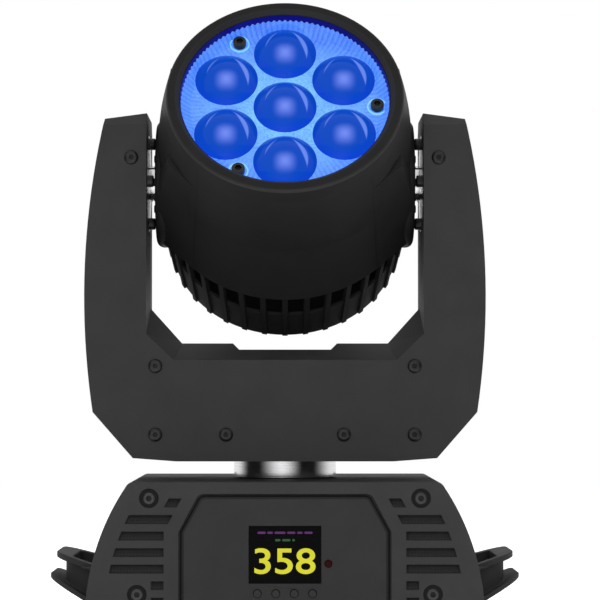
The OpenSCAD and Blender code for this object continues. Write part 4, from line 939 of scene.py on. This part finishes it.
def makeLenses(s):
    bm = bmesh.new()
    layer = bm.loops.layers.uv.new("lensMap")
    for low, high in lensBoxes:
        radius = (high.x - low.x) / 2
        top = high.z - plateFace
        place = onPlate(low, high)
        profile = [(0, -s["sunk"]), (radius, -s["sunk"]), (radius, s["wall"])]
        profile += arcProfile(radius - s["inset"], s["lip"], top, s["domeSteps"])
        profile[-1] = (0, top)
        before = len(bm.faces)
        addLathe(bm, profile, place, s["around"])
        bm.faces.ensure_lookup_table()
        mapFlat(bm.faces[before:], layer, place, radius)
    makePiece("lensDomes", bm, ["lensBlue"], "zoom_carriage", ["lenses"], s["sharp"])


finishes["lensBlue"] = lensFinish("lensBlue", lensSettings)
makeLenses(lensSettings)

# Cap screws on the lens plate, each in its clear cup
capSettings = {"dome": 0.14, "key": 0.55, "deep": 0.5, "ripple": 0.12 * mm, "teeth": 36}


def makeCapScrews(s, cup):
    capBm = bmesh.new()
    cupBm = bmesh.new()
    outer, inner = cup["radius"], cup["radius"] - cup["width"]
    foot, top, bevel, shoulder = -cup["sunk"], cup["height"], cup["bevel"], cup["shoulder"]
    profile = [(inner, foot), (outer, foot), (outer, shoulder), (outer - bevel, top),
               (inner + bevel, top), (inner, shoulder), (inner, foot)]
    for low, high in capBoxes:
        place = onPlate(low, high)
        addScrew(capBm, place, (high.x - low.x) / 2, high.z - plateFace, s)
        addLathe(cupBm, profile, place)
    weldPoints(cupBm)
    makePiece("lensPlateScrews", capBm, ["blackOxide", "keyShade"], "zoom_carriage",
              ["lens_screws"])
    makePiece("screwCups", cupBm, ["cupGlow"], "zoom_carriage")


makeCapScrews(capSettings, cupSettings)

# Painted light: a thin glowing sleeve inside the front ring, standing for the lenses' blue light on its
# inner wall
wallGlowSettings = {"back": 14.0 * mm, "front": 3.0 * mm, "thick": 0.2 * mm, "gap": 0.45 * mm, "around": 128}


def makeWallGlow(s):
    outside = plateHigh.x + s["gap"]
    inside = outside - s["thick"]
    low, high = ringHigh.z - s["back"], ringHigh.z - s["front"]
    profile = [(inside, low), (outside, low), (outside, high), (inside, high), (inside, low)]
    bm = bmesh.new()
    addLathe(bm, profile, headSpace, s["around"])
    weldPoints(bm)
    makePiece("ringWallGlow", bm, ["wallGlowBlue"], "head")


makeWallGlow(wallGlowSettings)
print("lens plate, lenses and liner made")

# Painted shade: a dark strip in the groove round each panel in its bezel, its inner slope a softer shade
grooveShadeSettings = {"wide": 2.2 * mm, "crest": 0.9 * mm, "proud": 0.15 * mm, "sunk": 0.6 * mm,
                "flat": 0.01 * mm, "sharpest": 0.3}


def faceOutline(name, outward, flat):
    # outer edge of the flat face that the node turns outward, along y
    bm = nodeMesh(name)
    reach = max(v.co.y * outward for v in bm.verts)
    front = {f for f in bm.faces if all(abs(v.co.y * outward - reach) < flat for v in f.verts)}
    links = {}
    for edge in bm.edges:
        if sum(f in front for f in edge.link_faces) == 1:
            a, b = edge.verts
            links.setdefault(a, []).append(b)
            links.setdefault(b, []).append(a)
    start = max(links, key=lambda v: v.co.x)
    loop, last = [start], None
    while len(loop) == 1 or loop[-1] is not start:
        here = loop[-1]
        loop.append(next(v for v in links[here] if v is not last))
        last = here
    points = [Vector((v.co.x, v.co.z)) for v in loop[:-1]]
    bm.free()
    return points, reach * outward


def insetLoop(points, width, sharpest):
    made = []
    count = len(points)
    area = sum(points[i - 1].x * points[i].y - points[i].x * points[i - 1].y for i in range(count))
    turn = 1 if area > 0 else -1
    for i, p in enumerate(points):
        before = (p - points[i - 1]).normalized()
        after = (points[(i + 1) % count] - p).normalized()
        inwards = [Vector((-d.y, d.x)) * turn for d in (before, after)]
        middle = (inwards[0] + inwards[1]).normalized()
        made.append(p + middle * width / max(sharpest, middle.dot(inwards[0])))
    return made


def makeGrooveShade(node, name, outward, s):
    outer, level = faceOutline(node, outward, s["flat"])
    crest, inner = [insetLoop(outer, s[key], s["sharpest"]) for key in ("crest", "wide")]
    low, high = level - outward * s["sunk"], level + outward * s["proud"]
    side = (level + high) / 2
    rings = [(outer, low), (outer, side), (crest, high), (inner, side), (inner, low)]
    # the inner slope takes the softer shade, the rest the dark
    softShadeRow = 2  # from the crest inwards
    bm = bmesh.new()
    loops = [[bm.verts.new((p.x, y, p.y)) for p in points] for points, y in rings]
    for row, (a, b) in enumerate(zip(loops, loops[1:] + loops[:1])):
        for face in bridge(bm, a, b):
            face.material_index = int(row == softShadeRow)
    makePiece(name, bm, ["grooveShadeDark", "grooveShadeSoft"], "base")


makeGrooveShade("control_panel", "controlPanelGrooveShade", -1, grooveShadeSettings)
makeGrooveShade("connector_plate", "connectorPlateGrooveShade", 1, grooveShadeSettings)

# Control panel: keys, display digits and bars
keySettings = {"cap": 2.4 * mm, "collar": 1.0 * mm, "dish": 0.18 * mm, "edge": 0.35 * mm, "around": 48}


def makeKey(name, s):
    low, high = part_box(name)
    middle = (low + high) / 2
    cap, edge = s["cap"], s["edge"]
    collar = (high.x - low.x) / 2
    tall = high.y - low.y
    profile = [(0, 0), (collar, 0), (collar, s["collar"]), (cap, s["collar"]), (cap, tall - edge),
               (cap - edge * 0.3, tall - edge * 0.3), (cap - edge, tall),
               (cap * 0.55, tall - s["dish"] * 0.5), (0, tall - s["dish"])]
    bm = bmesh.new()
    addLathe(bm, profile, facing((middle.x, high.y, middle.z), (0, -1, 0)), s["around"])
    makePiece(name.split("_")[0] + "Key", bm, ["keyPlastic"], name, [name])


for name in finishOf["keyPlastic"]:
    makeKey(name, keySettings)

windowLow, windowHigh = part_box("display_window")
windowSize = windowHigh - windowLow
windowMiddle = (windowLow + windowHigh) / 2
digitSettings = {"body": "358", "width": 0.85, "height": 0.455, "drop": 0.112, "bold": 0.012,
                 "thick": 0.05 * mm, "curveSteps": 6, "curveDepth": 0.02}


def makeDigits(s):
    curve = bpy.data.curves.new("digitShapes", "FONT")
    curve.body = s["body"]
    curve.offset = s["bold"]
    curve.resolution_u = s["curveSteps"]
    curve.extrude = s["curveDepth"]
    holder = bpy.data.objects.new("digitHolder", curve)
    bpy.context.scene.collection.objects.link(holder)
    bpy.context.view_layer.update()
    shape = bpy.data.meshes.new_from_object(holder.evaluated_get(bpy.context.evaluated_depsgraph_get()))
    bpy.data.objects.remove(holder)
    bpy.data.curves.remove(curve)
    low, high = boxOf([v.co for v in shape.vertices])
    size = high - low
    bm = bmesh.new()
    bm.from_mesh(shape)
    bpy.data.meshes.remove(shape)
    for vert in bm.verts:
        share = vert.co - (low + high) / 2
        x = windowMiddle.x + share.x / size.x * windowSize.x * s["width"]
        y = windowLow.y - share.z / size.z * s["thick"]
        z = windowMiddle.z + (share.y / size.y * s["height"] - s["drop"]) * windowSize.z
        vert.co = (x, y, z)
    makePiece("displayDigits", bm, ["digitYellow"], "base")


makeDigits(digitSettings)

barSettings = {"rows": [("barPurple", 0.885, [3, 2, 4, 3, 2, 3]), ("barGreen", 0.755, [2, 3, 1])],
               "tall": 1.4 * mm, "unit": 1.7 * mm, "space": 1.1 * mm, "thick": 0.05 * mm, "round": 0.3 * mm}


def makeBars(s):
    for finish, level, lengths in s["rows"]:
        bm = bmesh.new()
        total = sum(lengths) * s["unit"] + (len(lengths) - 1) * s["space"]
        x = windowMiddle.x - total / 2
        z = windowLow.z + windowSize.z * level
        for length in lengths:
            wide = length * s["unit"]
            size = Vector((wide, s["thick"], s["tall"]))
            place = Matrix.LocRotScale(Vector((x + wide / 2, windowLow.y, z)), None, size)
            bmesh.ops.create_cube(bm, size=1.0, matrix=place)
            x += wide + s["space"]
        edges = [e for e in bm.edges if abs(e.verts[0].co.y - e.verts[1].co.y) > s["thick"] / 2]
        bmesh.ops.bevel(bm, geom=edges, offset=s["round"], segments=2, affect="EDGES")
        makePiece("display" + finish[0].upper() + finish[1:], bm, [finish], "base")


makeBars(barSettings)
print("control panel finished")


# Studio: pale floor, white surround, soft boxes and the camera

def seenDirectly(tree):
    # 1 for rays from the camera and for those that metal and glass send on
    path = addNode(tree, "LightPath").outputs
    straight = maths(tree, "MAXIMUM", path["Is Camera Ray"], path["Is Transmission Ray"])
    return maths(tree, "MAXIMUM", straight, path["Is Glossy Ray"])


floorSettings = {"half": 3.0, "drop": 0.1 * mm, "glow": 0.8, "colour": grey(0.78)}


def makeFloor(s):
    material = bpy.data.materials.new("floorPale")
    tree = clearTree(material)
    diffuse = addNode(tree, "BsdfDiffuse", {"Color": s["colour"]}).outputs[0]
    glow = addNode(tree, "Emission", {"Color": grey(1), "Strength": s["glow"]}).outputs[0]
    both = addNode(tree, "AddShader", {0: diffuse, 1: glow}).outputs[0]
    choose = addNode(tree, "MixShader", {0: seenDirectly(tree), 1: diffuse, 2: both}).outputs[0]
    addNode(tree, "OutputMaterial", {"Surface": choose})
    level = cadBox[0].z - s["drop"]
    corners = [(-1, -1), (1, -1), (1, 1), (-1, 1)]
    bm = bmesh.new()
    bm.faces.new([bm.verts.new((x * s["half"], y * s["half"], level)) for x, y in corners])
    meshObject("floor", bm, [material])


worldSettings = {"ambient": 0.33, "seen": 1.0}


def makeWorld(s):
    world = bpy.data.worlds.new("studioWhite")
    bpy.context.scene.world = world
    tree = clearTree(world)
    dim = addNode(tree, "Background", {"Color": grey(1), "Strength": s["ambient"]}).outputs[0]
    white = addNode(tree, "Background", {"Color": grey(1), "Strength": s["seen"]}).outputs[0]
    choose = addNode(tree, "MixShader", {0: seenDirectly(tree), 1: dim, 2: white}).outputs[0]
    addNode(tree, "OutputWorld", {"Surface": choose})


# degrees round the object where a flag starts, is full, fades and ends
flagSettings = {"leftFlag": (-129, -86, -59, -7), "rightFlag": (-7, 38, 64, 125)}
flagShape = {"reach": 0.6, "tall": 0.45, "lift": 1.0 * mm, "steps": 24, "weave": 300.0, "rough": 0.9,
             "dark": grey(0.012), "pale": grey(0.022)}


def makeFlag(name, angles, s):
    # curved black screen that only reflections see; it fades out at both sides
    start, full, fading, end = angles
    material, tree, shader = newMaterial(name + "Black")
    weave = placeGroup(tree, mouldGrain, Scale=s["weave"])["Shade"]
    setInputs(tree, shader, {
        "Base Color": mixColours(tree, weave, s["dark"], s["pale"]),
        "Roughness": s["rough"],
        "Specular IOR Level": 0.0,
        "Alpha": addNode(tree, "Attribute", attribute_name="cover").outputs["Fac"]})
    level = cadBox[0].z
    bm = bmesh.new()
    layer = bm.verts.layers.float.new("cover")
    lines = []
    for i in range(s["steps"] + 1):
        angle = start + (end - start) * i / s["steps"]
        x, y = s["reach"] * math.sin(math.radians(angle)), -s["reach"] * math.cos(math.radians(angle))
        line = [bm.verts.new((x, y, level + z)) for z in (s["lift"], s["tall"])]
        for vert in line:
            vert[layer] = smoothStep(min((angle - start) / (full - start), (end - angle) / (end - fading)))
        lines.append(line)
    for a, b in zip(lines, lines[1:]):
        bm.faces.new((a[0], b[0], b[1], a[1]))
    flag = meshObject(name, bm, [material])
    for kind in ("camera", "diffuse", "transmission", "shadow", "volume_scatter"):
        setattr(flag, "visible_" + kind, False)


usualStrip = {"size": (0.22, 1.5), "aim": (0, -0.05, 0.35)}
softBoxes = {
    "keyBox": {"power": 16.0, "size": (1.5, 1.5), "place": (0, -1.75, 0.68), "aim": (0, 0, 0.22),
               "long": (0, 0, 1)},
    "fillBox": {"power": 4.3, "size": (0.9, 0.9), "place": (0, -1.5, 0.12), "aim": (0, 0, 0.25),
                "long": (0, 0, 1)},
    "leftStrip": {**usualStrip, "power": 7.0, "place": (-0.88, 0.59, 1.44), "long": (-0.63, -0.77, -0.11)},
    "rightStrip": {**usualStrip, "power": 10.0, "place": (0.88, 0.59, 1.44), "long": (0.63, -0.77, -0.11)},
}


def makeSoftBox(name, s):
    light = bpy.data.lights.new(name, "AREA")
    light.shape = "RECTANGLE"
    light.size, light.size_y = s["size"]
    light.energy = s["power"]
    back = (Vector(s["place"]) - Vector(s["aim"])).normalized()
    side = Vector(s["long"]).cross(back).normalized()
    turn = Matrix((side, back.cross(side), back)).transposed()
    box = bpy.data.objects.new(name, light)
    box.matrix_world = Matrix.Translation(s["place"]) @ turn.to_4x4()
    box.visible_glossy = False
    bpy.context.scene.collection.objects.link(box)


# focal length and middle in pixels of the photo's frame
cameraSettings = {"place": (0, -1.9, 0.152), "focal": 2879, "frame": 600, "middle": (285, 395),
                  "sensor": 36.0, "clipEnd": 50}


def makeCamera(s):
    data = bpy.data.cameras.new("photoCamera")
    data.sensor_width = s["sensor"]
    data.lens = s["focal"] * s["sensor"] / s["frame"]
    data.clip_end = s["clipEnd"]
    half = s["frame"] / 2
    pan = math.atan((half - s["middle"][0]) / s["focal"])
    tilt = math.atan((s["middle"][1] - half) / s["focal"])
    camera = bpy.data.objects.new("photoCamera", data)
    camera.location = s["place"]
    camera.rotation_euler = (math.pi / 2 + tilt, 0, -pan)
    bpy.context.scene.collection.objects.link(camera)
    bpy.context.scene.camera = camera


makeFloor(floorSettings)
makeWorld(worldSettings)
for name, angles in flagSettings.items():
    makeFlag(name, angles, flagShape)
for name, box in softBoxes.items():
    makeSoftBox(name, box)
makeCamera(cameraSettings)
bpy.context.scene.view_settings.view_transform = "Standard"
print("studio ready")
